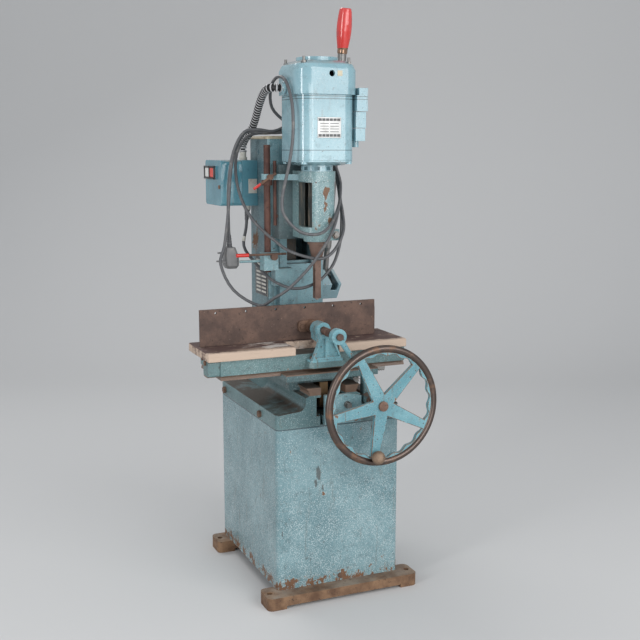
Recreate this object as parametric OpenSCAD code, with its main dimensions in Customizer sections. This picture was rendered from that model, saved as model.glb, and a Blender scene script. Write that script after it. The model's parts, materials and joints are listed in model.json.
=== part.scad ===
// Hollow chisel mortiser on a cabinet base, made of separate machine parts.
// Lengths in mm. X runs to the right, Y to the back, Z up. The origin lies on the
// floor in the middle of the four floor bolt holes.

/* [Base] */
// Length of each foot bar
foot_l = 410; // [360:1:520]
// Depth of each foot bar
foot_w = 68; // [50:1:100]
// Height of each foot bar
foot_t = 32; // [20:1:60]
// Distance between the floor bolts along X
bolt_x = 380; // [330:1:480]
// Distance between the floor bolts along Y
bolt_y = 400; // [360:1:480]
// Radius of a floor bolt hole
bolt_r = 7; // [4:0.5:12]

/* [Cabinet] */
// Width of the cabinet
cab_w = 333; // [300:1:420]
// Depth of the cabinet
cab_d = 434; // [420:1:520]
// Height of the cabinet
cab_h = 412; // [300:1:600]
// Wall of the cabinet
cab_wall = 5; // [3:0.5:10]
// Radius of the upright corners
cab_r = 14; // [6:1:40]

/* [Top casting] */
// Height of the skirt
skirt_h = 35; // [25:1:50]
// Height of the ways above the skirt
way_h = 61; // [50:1:90]
// Width of one cross way
way_w = 38; // [30:1:46]
// Gap between the cross ways
way_gap = 66; // [50:1:80]

/* [Saddle and table] */
// Length of the saddle along X
saddle_l = 245; // [200:1:300]
// Thickness of the saddle above the ways
saddle_t = 37; // [34:1:50]
// Length of the table casting along X
table_l = 490; // [400:1:700]
// Thickness of the table casting
table_t = 38; // [28:1:60]
// Shift of the table from the middle, where it was left
table_at = -50; // [-60:1:60]
// Thickness of the work boards
board_t = 20.6; // [12:0.1:40]
// Height of the clamp jaw
jaw_h = 90; // [60:1:140]
// Length of the clamp jaw
jaw_l = 469; // [300:1:600]
// Thickness of the clamp jaw
jaw_t = 8; // [5:0.5:14]
// Radius of the clamp screw
clamp_r = 10; // [7:0.5:14]
// Length of the clamp crank
crank_l = 88; // [60:1:110]

/* [Handwheel] */
// Outer radius of the handwheel
wheel_r = 150; // [110:1:170]
// Radius of the round rim
rim_r = 9; // [6:0.5:14]
// Radius of the turning knob
knob_r = 16.5; // [9:0.5:18]
// Number of spokes
spokes = 5; // [3:1:7]
// Number of finger waves inside the rim
waves = 20; // [12:1:60]
// Radius of the wheel shaft
shaft_r = 11; // [8:0.5:12]

/* [Column] */
// Width of the column
col_w = 160; // [140:1:220]
// Depth of the column
col_d = 137; // [130:1:180]
// Height of the column
col_h = 595; // [500:1:800]
// Wall of the column
col_wall = 11; // [8:0.5:16]

/* [Feed] */
// Module of the feed rack
feed_m = 4; // [3:0.5:5]
// Teeth of the feed pinion
feed_n = 24; // [18:1:26]
// Length of the feed lever
lever_l = 742; // [500:1:900]
// Forward lean of the feed lever at rest
lever_lean = 10.6; // [0:0.1:20]
// Radius of the feed lever
lever_r = 11.5; // [8:0.5:12]

/* [Head] */
// Distance of the spindle in front of the origin
spindle_y = -53; // [-60:1:-45]
// Side of the square chisel
chisel_w = 16; // [10:1:20]
// Width of the motor body
motor_w = 152; // [120:1:160]
// Width of the motor cowl
cowl_w = 164; // [130:1:170]
// Corner radius of the motor
motor_r = 38; // [20:1:50]
// Radius of the stop rod
stop_r = 8.5; // [5:0.5:10]

/* [Fits] */
// Radial clearance of a running fit
run = 0.05; // [0.01:0.01:0.1]
// Gap between sliding faces
slip = 0.3; // [0.2:0.05:0.6]

/* [Hidden] */
$fn = 48;
mid_y = 22;
front_y = mid_y - cab_d/2;
back_y = mid_y + cab_d/2;
skirt_z = foot_t + cab_h;
should_z = skirt_z + skirt_h;
way_z = should_z + way_h;
way_x = -17;
way_i = way_gap/2;
way_o = way_i + way_w;
sad_z = way_z + slip;
floor_z = way_z + 30;
lip_z = way_z + saddle_t;
tab_z = way_z + 42;
top_z = tab_z + table_t;
board_z = top_z + board_t;
tab_x0 = table_at - table_l/2;
tab_x1 = table_at + table_l/2;
wheel_x = 77;
wheel_z = should_z + 21;
wheel_y = front_y - 80;
gear_m = 2;
pin_n = 13;
idle_n = 18;
idle_z = wheel_z + gear_m*(pin_n + idle_n)/2;
rack_z = idle_z + gear_m*idle_n/2;
clamp_x = -31;
clamp_z = board_z + 34.4;
base_z = should_z + 66;
col_y0 = 88;
col_y1 = col_y0 + col_d;
cap_z = base_z + col_h;
pad_z = base_z + 270;
feed_y = 193;
feed_z = base_z + 200;
feed_p = feed_m*feed_n/2;
feed_x = 128;
slide_z0 = pad_z + 70;
slide_z1 = slide_z0 + 190;
head_z = slide_z0;
mot_z = slide_z1 + 12;
seam_z = mot_z + 158;
pin_at = cowl_w/2 - 23;
rod_x = -98;
rod_y = 42;
arm_z = head_z + 152;
box_x0 = -182;
box_x1 = -col_w/2;
box_y0 = 163;
box_y1 = 302;
box_z0 = base_z + 420;
box_z1 = box_z0 + 120;

teal = [0.36, 0.62, 0.66];
steel = [0.55, 0.56, 0.57];
rust = [0.36, 0.24, 0.18];
black = [0.1, 0.1, 0.1];

module rrect(w, d, r) {
    square([w - 2*r, d], center = true);
    square([w, d - 2*r], center = true);
    for (sx = [-1, 1], sy = [-1, 1])
        translate([sx*(w/2 - r), sy*(d/2 - r)])
            circle(r);
}

module rbox(w, d, h, r) {
    linear_extrude(h) rrect(w, d, r);
}

module xcyl(r, l) {
    rotate([0, 90, 0]) cylinder(r = r, h = l);
}

module ycyl(r, l) {
    rotate([-90, 0, 0]) cylinder(r = r, h = l);
}

module along_x(x0, x1) {
    translate([x0, 0, 0]) rotate([90, 0, 90]) linear_extrude(x1 - x0) children();
}

module along_y(y0, y1) {
    translate([0, y1, 0]) rotate([90, 0, 0]) linear_extrude(y1 - y0) children();
}

module slab(x0, x1, y0, y1, z0, z1) {
    translate([x0, y0, z0]) cube([x1 - x0, y1 - y0, z1 - z0]);
}

module hexhead(r, h) {
    cylinder(r = r, h = h, $fn = 6);
}

// Spur gear outline with involute flanks
function inv(rb, r) = let(a = acos(min(1, rb/r))) tan(a)*180/PI - a;
function polar(r, a) = [r*cos(a), r*sin(a)];
function flank(m, n, play, r) =
    let(rp = m*n/2, rb = rp*cos(20))
    90/n - play/rp*90/PI + inv(rb, rp) - inv(rb, max(rb, r));
module gear(m, n, t, bore, play, turn) {
    rp = m*n/2;
    rr = rp - 1.25*m;
    ro = rp + m;
    rb = rp*cos(20);
    r0 = max(rr, rb);
    rs = [for (i = [0:4]) r0 + (ro - r0)*i/4];
    linear_extrude(t) difference() {
        rotate(turn) polygon([for (k = [0:n - 1]) each concat(
            [polar(rr, 360*k/n - flank(m, n, play, r0))],
            [for (i = [0:4]) polar(rs[i], 360*k/n - flank(m, n, play, rs[i]))],
            [for (i = [4:-1:0]) polar(rs[i], 360*k/n + flank(m, n, play, rs[i]))],
            [polar(rr, 360*k/n + flank(m, n, play, r0))])]);
        circle(bore);
    }
}

// Rack teeth: profile along s, standing up from the pitch line towards +t
function rack_pts(m, k0, k1, s0, play) = [for (k = [k0:k1]) each [
    [s0 + PI*m*k - PI*m/4 - 1.25*m*tan(20) + play/2, -1.25*m],
    [s0 + PI*m*k - PI*m/4 + m*tan(20) + play/2, m],
    [s0 + PI*m*k + PI*m/4 - m*tan(20) - play/2, m],
    [s0 + PI*m*k + PI*m/4 + 1.25*m*tan(20) - play/2, -1.25*m]]];

// Base

module foot_bar(ym) {
    pad = 48;
    difference() {
        translate([0, ym, 0]) rbox(foot_l, foot_w, foot_t, 14);
        slab(-foot_l/2 + pad, foot_l/2 - pad, ym - foot_w/2 - 1, ym + foot_w/2 + 1, -1, 8);
        for (sx = [-1, 1]) {
            translate([sx*bolt_x/2, ym, -1]) cylinder(r = bolt_r, h = foot_t + 2);
            translate([sx*130, ym + (ym < 0 ? 22 : 0), foot_t - 22]) cylinder(r = 6.3, h = 23);
        }
    }
}

module foot_bars() color(rust) for (y = [-bolt_y/2, bolt_y/2]) foot_bar(y);

module cabinet() color(teal) {
    translate([0, mid_y, foot_t]) difference() {
        rbox(cab_w, cab_d, cab_h, cab_r);
        translate([0, 0, 8]) rbox(cab_w - 2*cab_wall, cab_d - 2*cab_wall, cab_h, cab_r - cab_wall);
        translate([0, 0, -1]) rbox(cab_w - 90, cab_d - 110, 20, cab_r);
        for (sx = [-1, 1], y = [-bolt_y/2 + 22, bolt_y/2])
            translate([sx*130, y - mid_y, -1]) cylinder(r = 6.3, h = 20);
        translate([2, -cab_d/2 + 12, 14]) rotate([90, 0, 0]) cylinder(r = 3.2, h = 20);
    }
}

module base_bolts() color(rust) {
    cabinet_bolts();
    skirt_bolts();
    bracket_screws();
    column_bolts();
    cover_screws();
    cover_screw();
}

module cabinet_bolts() {
    for (sx = [-1, 1], y = [-bolt_y/2 + 22, bolt_y/2])
        translate([sx*130, y, foot_t]) {
            translate([0, 0, -20]) cylinder(r = 6, h = 28);
            translate([0, 0, 8]) hexhead(11, 8);
        }
    translate([2, front_y - 3, foot_t + 14]) ycyl(3, 12);
    translate([2, front_y - 4, foot_t + 14]) ycyl(6, 4);
}

// Top casting with the cross ways

function mirror_x(pts) = [for (i = [len(pts) - 1:-1:0]) [2*way_x - pts[i][0], pts[i][1]]];
function way_side() = let(x = way_x - way_o) concat(
    [[x - 22, should_z + 5]],
    [for (a = [-80:10:0]) [x - 22 + 20*cos(a), should_z + 25 + 20*sin(a)]],
    [[x - 2, way_z - 24], [x + 8, way_z - 20], [x + 8, way_z - 12], [x, way_z]]);

module top_casting() color(teal) difference() {
    union() {
        translate([0, mid_y, skirt_z]) rbox(cab_w, cab_d, skirt_h, cab_r);
        along_y(front_y, 78) polygon(concat([[-cab_w/2 + 4, should_z - 1], [-cab_w/2 + 4, should_z]],
            way_side(), mirror_x(way_side()),
            [[cab_w/2 - 4, should_z], [cab_w/2 - 4, should_z - 1]]));
        translate([0, 157, should_z - 1]) rbox(190, 160, 67, 10);
    }
    translate([0, mid_y, skirt_z - 1]) rbox(cab_w - 24, cab_d - 24, 15, cab_r - 8);
    slab(way_x - way_i - 12, way_x + way_i + 14, front_y - 1, 70, skirt_z + 24, way_z - 25);
    slab(way_x - way_i, way_x + way_i, front_y - 1, 70, way_z - 26, way_z + 1);
    slab(-52, -44, front_y - 1, front_y + 20, skirt_z + 2, way_z - 24);
    for (y = [-80, 202])
        translate([-cab_w/2 - 1, y, skirt_z + 14]) xcyl(5.3, 14);
    for (x = [-30, 40])
        translate([x, front_y - 1, skirt_z + 12]) ycyl(4.3, 14);
    for (sx = [-1, 1], y = [112, 203])
        translate([sx*55, y, base_z - 30]) cylinder(r = 6.3, h = 31);
}

module skirt_bolts() {
    for (y = [-80, 202]) {
        translate([-cab_w/2 - 7, y, skirt_z + 14]) rotate([0, 90, 0]) hexhead(9.5, 7);
        translate([-cab_w/2 - 1, y, skirt_z + 14]) xcyl(5, 12);
    }
}

module screw_bracket() color(teal) difference() {
    union() {
        along_y(front_y - 8.3, front_y) polygon([[-43, skirt_z + 2], [56, skirt_z + 2],
            [56, way_z - 28], [20, way_z - 20], [-43, way_z - 19]]);
        translate([16, front_y - 8.3, skirt_z + 49]) ycyl(13.5, 20);
    }
    translate([16, front_y - 9, skirt_z + 49]) ycyl(6 + run, 30);
    for (x = [-30, 40])
        translate([x, front_y - 9, skirt_z + 12]) ycyl(4.3, 14);
}

module bracket_screws() for (x = [-30, 40]) {
    translate([x, front_y - 8.3, skirt_z + 12]) ycyl(4, 18);
    translate([x, front_y - 12.3, skirt_z + 12]) ycyl(7, 4);
}

module cross_screw() color(steel) {
    y0 = front_y + 11.7 + slip;
    translate([16, front_y - 9, skirt_z + 49]) ycyl(6, 22);
    translate([16, front_y - 16.6, skirt_z + 49]) ycyl(8.6, 8);
    translate([10.5, front_y - 26, skirt_z + 43.5]) cube([11, 10, 11]);
    translate([16, y0, skirt_z + 49]) ycyl(8, 55 - y0);
}

// Saddle

module saddle() color(teal) difference() {
    x0 = -17.5 - saddle_l/2;
    x1 = -17.5 + saddle_l/2;
    union() {
        along_x(x0, x1) polygon([[front_y, way_z + 20], [front_y, lip_z],
            [front_y + 38.4, lip_z], [front_y + 34.5, floor_z], [9.7, floor_z],
            [5.9, lip_z], [40, lip_z], [40, way_z + 20]]);
        slab(way_x - way_o - 22, way_x + way_o + 10, front_y + 60, 40, sad_z, way_z + 21);
        along_y(front_y + 60, 40) polygon([[-110, way_z + 20], [-110, way_z - 16],
            [-80.4, way_z - 16], [-80.4, way_z - 11.8], [-88.4, sad_z], [-88.4, way_z + 20]]);
        along_y(front_y + 60, 40) polygon([[58.8, way_z + 20], [64, way_z + 20],
            [64, way_z - 16], [50.8, way_z - 16], [50.8, way_z - 11.8], [58.8, sad_z]]);
        for (s = [[front_y - 23, front_y + 25], [-20, 5]])
            translate([wheel_x, s[0], wheel_z]) ycyl(15, s[1] - s[0]);
        for (s = [[front_y + 3, front_y + 25], [-20, 5], [-118, -112], [-78, -72]])
            slab(wheel_x - 9, wheel_x + 9, s[0], s[1], wheel_z + (s[0] == -118 || s[0] == -78 ? 19 : 0),
                way_z + 21);
    }
    slab(x0 - 1, x1 + 1, -112, -78, way_z + 5, floor_z + 1);
    slab(50, 104, -112, -78, wheel_z - 20, floor_z);
    translate([wheel_x, front_y - 24, wheel_z]) ycyl(shaft_r + run, 50);
    translate([wheel_x, -21, wheel_z]) ycyl(9 + run, 27);
    translate([wheel_x, -119, idle_z]) ycyl(6.02, 48);
    for (y = [-130, 20])
        translate([54, y, way_z - 10]) xcyl(3.3, 11);
}

module saddle_gibs() color(steel) {
    way_gib();
    table_gib();
    gib_screws();
    idler_pin();
}

module way_gib()
    along_y(front_y + 62, 38) polygon([[54.4, way_z], [58.4, way_z],
        [50.4, way_z - 11.8], [46.4, way_z - 11.8]]);

module table_gib()
    along_x(-17.5 - saddle_l/2, -17.5 + saddle_l/2) polygon([[5.4, floor_z], [9.4, floor_z],
        [5.6, lip_z], [1.6, lip_z]]);

module gib_screws() for (y = [-130, 20]) {
    translate([64, y, way_z - 10]) xcyl(5.5, 5);
    translate([54.6, y, way_z - 10]) xcyl(3, 10);
}

module cross_nut() color(rust) difference() {
    union() {
        slab(-32, -10, front_y + 50, front_y + 90, way_z - 40, sad_z);
        slab(-32, 28, front_y + 50, front_y + 90, skirt_z + 33, way_z - 30);
    }
    translate([16, front_y + 40, skirt_z + 49]) ycyl(8 + slip, 60);
}

module idler_pin() translate([wheel_x, -121, idle_z]) {
    ycyl(6, 50);
    ycyl(8.5, 3);
}

module idler() color(steel) translate([wheel_x, -110, idle_z]) rotate([-90, 0, 0])
    gear(gear_m, idle_n, 30, 6 + run, 0.2, 0);

// Table

module table_casting() color(teal) difference() {
    union() {
        slab(tab_x0, tab_x1, -163, 35, tab_z, top_z);
        along_x(tab_x0 + 2, tab_x1 + 2) polygon([[-160, floor_z + slip], [5, floor_z + slip],
            [-1.9, tab_z + 1], [-153, tab_z + 1]]);
        along_z(tab_z + 6, tab_z + 20) polygon([[-76, -160], [-76, -185], [-68, -193],
            [16, -193], [22, -187], [22, -160]]);
    }
    slab(tab_x0 - 1, tab_x1 + 3, -116, -74, floor_z - 1, tab_z);
    for (k = [0:2]) {
        w = (table_l - 42)/3;
        slab(tab_x0 + 12 + k*(w + 9), tab_x0 + 12 + k*(w + 9) + w, -146, -120, floor_z, top_z - 14);
        slab(tab_x0 + 12 + k*(w + 9), tab_x0 + 12 + k*(w + 9) + w, -70, -8, floor_z, top_z - 14);
    }
    translate([tab_x0 - 1, -140, tab_z + 31]) xcyl(3.3, 10);
    translate([tab_x0 - 1, -60, tab_z + 27]) xcyl(3.3, 10);
    slab(tab_x0 - 1, tab_x0 + 42, 2, 36, tab_z - 1, top_z + 1);
    for (x = [-62, 0])
        translate([x, -171, tab_z + 5]) cylinder(r = 4.3, h = 20);
    for (k = [0:3])
        translate([tab_x0 + 60 + k*120, 18, top_z - 20]) cylinder(r = 4.3, h = 21);
}

module end_cap() color(teal) difference() {
    union() {
        along_x(tab_x0 - 30, tab_x0) translate([-140, tab_z + 17]) rrect(38, 40, 7);
        slab(tab_x0 - 12, tab_x0, -124, -40, tab_z + 18, tab_z + 36);
    }
    slab(tab_x0 - 26, tab_x0 - 8, -154, -126, tab_z - 4, tab_z + 26);
    translate([tab_x0 - 31, -140, tab_z + 31]) xcyl(3.3, 40);
    translate([tab_x0 - 13, -60, tab_z + 27]) xcyl(3.3, 40);
}

module table_bolts() color(rust) {
    cap_screws();
    fence_bolts();
    clamp_bolts();
}

module cap_screws() {
    cap_screw(tab_x0 - 30, -140, tab_z + 31, 38);
    cap_screw(tab_x0 - 12, -60, tab_z + 27, 20);
}

module cap_screw(x, y, z, l) translate([x, y, z]) {
    xcyl(3, l);
    translate([-4, 0, 0]) rotate([0, 90, 0]) hexhead(6.5, 4);
}

module table_rack() color(steel) along_y(-110, -80) polygon(concat([[-104, tab_z]],
    [for (p = rack_pts(gear_m, -28, 14, wheel_x, 0.2)) [p[0], rack_z - p[1]]],
    [[170, tab_z]]));

module board(x0, x1) slab(x0, x1, -175, -12.2, top_z, board_z);

module boards() color([0.5, 0.36, 0.27]) {
    board(tab_x0 - 34, -107.2);
    difference() {
        board(-106.8, tab_x1);
        slab(-107, 8, -176, -104, top_z - 1, board_z + 1);
    }
}

module rear_fence() color(rust) difference() {
    union() {
        slab(tab_x0, tab_x1 - 10, -12, -2, top_z, top_z + 80);
        slab(tab_x0 + 44, tab_x1 - 10, -3, 32, top_z, top_z + 10);
    }
    for (k = [0:3])
        translate([tab_x0 + 60 + k*120, 18, top_z - 1]) cylinder(r = 4.3, h = 21);
}

module fence_bolts() for (k = [0:3])
    translate([tab_x0 + 60 + k*120, 18, top_z - 14]) {
        cylinder(r = 4, h = 25);
        translate([0, 0, 24]) hexhead(8, 6);
    }

// Clamp

module clamp_bracket() color(teal) difference() {
    z0 = tab_z + 20;
    union() {
        slab(-75, 10, -192, -164, z0, z0 + 6);
        along_y(-190, -178) polygon([[-70, z0 + 5], [8, z0 + 5], [-6, z0 + 40],
            [-13, clamp_z - 6], [-49, clamp_z - 6], [-56, z0 + 40]]);
        along_x(-49, -13) polygon([[-190, z0 + 46], [-178, z0 + 44], [-130, z0 + 50],
            [-130, clamp_z + 4], [-164, clamp_z + 10]]);
        translate([clamp_x, -166, clamp_z]) ycyl(20, 38);
    }
    for (s = [-1, 1])
        along_y(-191, -183) polygon([[clamp_x + s*33, z0 + 11], [clamp_x + s*4.5, z0 + 11],
            [clamp_x + s*4.5, clamp_z - 16], [clamp_x + s*14, clamp_z - 16],
            [clamp_x + s*19.5, z0 + 40]]);
    translate([clamp_x, -195, clamp_z]) ycyl(clamp_r + slip, 80);
    for (x = [-62, 0])
        translate([x, -171, z0 - 1]) cylinder(r = 4.3, h = 10);
}

module clamp_bolts() for (x = [-62, 0])
    translate([x, -171, tab_z + 6]) {
        cylinder(r = 4, h = 21);
        translate([0, 0, 20]) cylinder(r = 6.5, h = 5);
    }

module clamp_plate() color(rust) difference() {
    x0 = -85.5 - jaw_l/2;
    slab(x0, x0 + jaw_l, -83, -83 + jaw_t, board_z + slip, board_z + slip + jaw_h);
    for (k = [0:5])
        translate([x0 + 40 + k*78, -84, board_z + jaw_h - 9]) ycyl(3, jaw_t + 2);
    for (sx = [-1, 1])
        translate([clamp_x + sx*26, -84, clamp_z]) ycyl(3.3, 7);
}

module clamp_swivel() color(steel) {
    swivel_body();
    swivel_screws();
}

module swivel_body() difference() {
    union() {
        translate([clamp_x, -103, clamp_z]) ycyl(16, 20);
        along_y(-90, -83) translate([clamp_x, clamp_z]) rrect(70, 28, 8);
    }
    translate([clamp_x, -104, clamp_z]) ycyl(8 + run, 16);
    for (sx = [-1, 1])
        translate([clamp_x + sx*26, -91, clamp_z]) ycyl(3.3, 9);
}

module swivel_screws() for (sx = [-1, 1])
    translate([clamp_x + sx*26, -94, clamp_z]) {
        ycyl(5.5, 4);
        ycyl(3, 16);
    }

module clamp_screw() color(rust) translate([clamp_x, 0, clamp_z]) {
    translate([0, -269, 0]) ycyl(8.6, 8);
    translate([0, -262, 0]) ycyl(8, 20);
    translate([0, -242, 0]) ycyl(clamp_r, 138.7);
    translate([0, -104, 0]) ycyl(8, 14);
}

module clamp_crank() color(teal) translate([clamp_x, 0, clamp_z]) {
    difference() {
        union() {
            translate([0, -261, 0]) ycyl(19, 19);
            translate([0, -252, 0]) rotate([0, 145, 0]) cylinder(r1 = 8, r2 = 5, h = crank_l);
        }
        translate([0, -262, 0]) ycyl(8.02, 22);
    }
    translate([0, -252, 0]) rotate([0, 145, 0]) translate([0, 0, crank_l]) sphere(8);
}

// Handwheel

module wheel_disc() color(teal) translate([wheel_x, wheel_y + 5, wheel_z]) difference() {
    rotate([90, 0, 0]) linear_extrude(10) difference() {
        union() {
            difference() {
                circle(wheel_r - rim_r, $fn = 180);
                polygon([for (k = [0:239]) let(a = k*1.5)
                    (wheel_r - 23 + 3*sin(waves*a))*[cos(a), sin(a)]]);
            }
            for (k = [0:spokes - 1])
                rotate(27 - 360*k/spokes) polygon([[-18, 18], [18, 18],
                    [11, wheel_r - 20], [-11, wheel_r - 20]]);
            circle(27);
        }
        circle(shaft_r + 0.02);
    }
    translate([0, -5, 0]) rotate([90, 0, 0])
        rotate_extrude($fn = 120) translate([wheel_r - rim_r, 0]) circle(rim_r + 0.1);
}

module wheel_rim() color(rust) translate([wheel_x, wheel_y, wheel_z]) rotate([90, 0, 0])
    rotate_extrude($fn = 120) translate([wheel_r - rim_r, 0]) circle(rim_r);

module wheel_shaft() color(steel) translate([wheel_x, 0, wheel_z]) {
    translate([0, wheel_y - 11, 0]) ycyl(12, 6);
    translate([0, wheel_y - 6, 0]) ycyl(shaft_r, -125 - wheel_y + 6);
    translate([0, front_y - 38, 0]) ycyl(14, 14.6);
    translate([0, -126, 0]) ycyl(9, 134);
    translate([0, -110, 0]) rotate([-90, 0, 0]) gear(gear_m, pin_n, 30, 8.5, 0.2, -90);
}

module wheel_knob() color([0.45, 0.33, 0.2])
    translate([wheel_x - 0.156*(wheel_r - 26), 0, wheel_z - 0.988*(wheel_r - 26)]) {
        translate([0, wheel_y - 19, 0]) ycyl(5.5, 13.7);
        translate([0, wheel_y - 22, 0]) sphere(knob_r);
    }

// Column

module column() color(teal) difference() {
    hw = col_w/2;
    union() {
        translate([0, (col_y0 + col_y1)/2, base_z]) rbox(col_w, col_d, col_h, 8);
        slab(-56, 56, 66, col_y0 + 1, base_z, pad_z);
        along_z(pad_z - 1, cap_z - 20) {
            polygon([[35, 66], [56, 66], [47.6, col_y0 + 1], [35, col_y0 + 1]]);
            polygon([[-35, 66], [-35, col_y0 + 1], [-47.6, col_y0 + 1], [-56, 66]]);
        }
    }
    translate([0, (col_y0 + col_y1)/2, base_z + 15])
        rbox(col_w - 2*col_wall, col_d - 2*col_wall, col_h, 4);
    slab(-35, 35, 60, col_y0 + col_wall + 1, pad_z + 7, cap_z - 20);
    slab(-24, 24, col_y1 - col_wall - 1, col_y1 + 1, feed_z - 58, feed_z + 58);
    translate([hw - col_wall - 1, feed_y, feed_z]) xcyl(18, col_wall + 2);
    translate([-hw - 1, 153, cap_z - 34]) scale([1, 1, 1.5]) xcyl(5, 14);
    for (sx = [-1, 1], y = [112, 203])
        translate([sx*55, y, base_z - 1]) cylinder(r = 6.3, h = 20);
    for (sx = [-1, 1], sz = [-1, 1])
        translate([sx*30, col_y1 - 8, feed_z + sz*68]) ycyl(3.3, 10);
}

module along_z(z0, z1) {
    translate([0, 0, z0]) linear_extrude(z1 - z0) children();
}

module column_cap() color([0.78, 0.72, 0.58])
    translate([0, (col_y0 + col_y1)/2, cap_z]) {
        rbox(col_w, col_d, 5, 8);
        translate([0, 0, 5]) rbox(col_w - 8, col_d - 8, 3, 6);
    }

module column_bolts() for (sx = [-1, 1], y = [112, 203])
    translate([sx*55, y, base_z - 25]) {
        cylinder(r = 6, h = 41);
        translate([0, 0, 40]) hexhead(9.5, 8);
    }

module gear_cover() color(teal) difference() {
    union() {
        slab(-30, 30, col_y1, col_y1 + 30, feed_z - 62, feed_z + 62);
        slab(-38, 38, col_y1, col_y1 + 5, feed_z - 76, feed_z + 76);
    }
    slab(-24, 24, col_y1 - 1, col_y1 + 25, feed_z - 58, feed_z + 58);
    for (sx = [-1, 1], sz = [-1, 1])
        translate([sx*30, col_y1 - 1, feed_z + sz*68]) ycyl(3.3, 10);
}

module cover_screws() for (sx = [-1, 1], sz = [-1, 1])
    translate([sx*30, col_y1 - 6, feed_z + sz*68]) {
        ycyl(3, 12);
        translate([0, 11, 0]) ycyl(6, 4);
    }

module lever_housing() color(teal) difference() {
    hw = col_w/2;
    along_x(hw, hw + 67) polygon([[117, feed_z + 2], [149, feed_z - 42], [247, feed_z - 42],
        [247, feed_z + 37], [173, feed_z + 37]]);
    along_x(hw - 1, hw + 61) polygon([[127, feed_z + 1], [152, feed_z - 36], [241, feed_z - 36],
        [241, feed_z + 31], [176, feed_z + 31]]);
    slab(feed_x - 9, feed_x + 9, 100, 241, feed_z - 16, feed_z + 40);
}

module shaft_bush() color([0.6, 0.5, 0.3]) translate([0, feed_y, feed_z]) difference() {
    hw = col_w/2;
    union() {
        translate([hw - col_wall - 8, 0, 0]) xcyl(17.92, col_wall + 16);
        translate([hw, 0, 0]) xcyl(24, 5);
        translate([-hw + col_wall, 0, 0]) xcyl(16.5, 26);
    }
    translate([-hw + col_wall + 4, 0, 0]) xcyl(12 + run, col_w);
}

module feed_shaft() color(steel) {
    translate([-col_w/2 + col_wall + 6, feed_y, feed_z])
        xcyl(12, feed_x + 12 + col_w/2 - col_wall - 6);
    translate([-14, feed_y, feed_z]) rotate([90, 0, 90])
        gear(feed_m, feed_n, 28, 11, 0.3, 180/feed_n);
}

module feed_lever() color(steel) translate([feed_x, feed_y, feed_z]) {
    difference() {
        union() {
            translate([-12, 0, 0]) xcyl(22, 24);
            rotate([lever_lean, 0, 0]) {
                cylinder(r = 8, h = lever_l - 20);
                translate([0, 0, 92]) cylinder(r1 = 8, r2 = lever_r, h = 10);
                translate([0, 0, 102]) cylinder(r = lever_r, h = lever_l - 217);
            }
        }
        translate([-13, 0, 0]) xcyl(12.02, 27);
    }
}

module lever_grip() color([0.75, 0.08, 0.06]) translate([feed_x, feed_y, feed_z])
    rotate([lever_lean, 0, 0]) translate([0, 0, lever_l - 115]) rotate_extrude() polygon([
        [8.02, 0], [13.2, 0], [13.6, 2], [13.6, 11], [14.2, 12], [16.4, 26], [18.8, 42],
        [20, 58], [19.8, 74], [18.4, 92], [16.8, 105], [15.2, 112], [12, 114.5], [0, 115],
        [0, 95.02], [8.02, 95.02]]);

// Stops on the column

module stop_block() color(teal) {
    stop_body();
    translate([-172, 50, feed_z + 84]) xcyl(3.5, 58);
}

module stop_body() difference() {
    union() {
        slab(-114, -74, 26, 58, feed_z + 60, feed_z + 107);
        slab(-80, -30, 34, 66, feed_z + 18, pad_z - 7);
    }
    translate([rod_x, rod_y, feed_z + 50]) cylinder(r = stop_r + slip, h = 70);
    translate([-88, 25, feed_z + 96]) ycyl(4 + run, 9);
}

module stop_latch() color(rust) {
    translate([-88, 16, feed_z + 96]) ycyl(9, 9.7);
    translate([-88, 25, feed_z + 96]) ycyl(4, 7);
    translate([-158, 21, feed_z + 103]) xcyl(3, 103);
    color([0.72, 0.1, 0.08]) translate([-190, 21, feed_z + 103]) xcyl(4.8, 32.1);
}

// Head

module head_slide() color(teal) difference() {
    union() {
        along_z(slide_z0, slide_z1) polygon([[-70, 32], [70, 32], [70, 86], [55.6, 86],
            [62.8, 65.7], [-56.4, 65.7], [-49.2, 86], [-70, 86]]);
        slab(-22, 22, 65, 122, slide_z0 + 15, slide_z1 - 15);
    }
    for (k = [0:2])
        translate([58, 76, slide_z0 + 30 + 65*k]) xcyl(3.3, 14);
}

module slide_gib() color(steel) along_z(slide_z0 + 2, slide_z1 - 2)
    polygon([[56.4, 66], [62.3, 66], [55.2, 86], [49.3, 86]]);

module head_bolts() color(rust) {
    slide_screws();
    ear_bolt();
    cowl_bolts();
}

module slide_screws() for (k = [0:2])
    translate([60, 76, slide_z0 + 30 + 65*k]) {
        xcyl(3, 11);
        translate([10, 0, 0]) rotate([0, 90, 0]) hexhead(6, 4);
    }

module feed_rack() color(steel) along_x(-13, 13) {
    z0 = slide_z0 - 198;
    polygon(concat([[122, z0]],
        [for (p = rack_pts(feed_m, -4, 24, feed_z, 0.3))
            [feed_y - feed_p + p[1], p[0]]],
        [[feed_y - feed_p - 5, slide_z1 - 15], [122, slide_z1 - 15]]));
}

module head_casting() color(teal) difference() {
    union() {
        translate([0, spindle_y, 0]) {
            along_z(head_z + 22, arm_z + 8) rrect(80, 82, 28);
            along_z(arm_z - 2, slide_z1 - 15) rrect(90, 88, 40);
            translate([0, 0, head_z]) cylinder(r1 = 33, r2 = 40, h = 23);
        }
        slab(-32, 32, -40, 32, head_z + 6, slide_z1 - 15);
        slab(30, 60, spindle_y - 4, spindle_y + 18, head_z, head_z + 28);
    }
    translate([0, spindle_y, head_z - 1]) {
        cylinder(r = 16.02, h = 40);
        translate([0, 0, 23]) cylinder(r = 30, h = 170);
    }
    slab(-60, -28, -110, 0, head_z + 37, head_z + 148);
    slab(14, 61, spindle_y + 6, spindle_y + 8, head_z - 1, head_z + 20);
    translate([50, spindle_y - 5, head_z + 14]) ycyl(5.3, 24);
}

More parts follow.
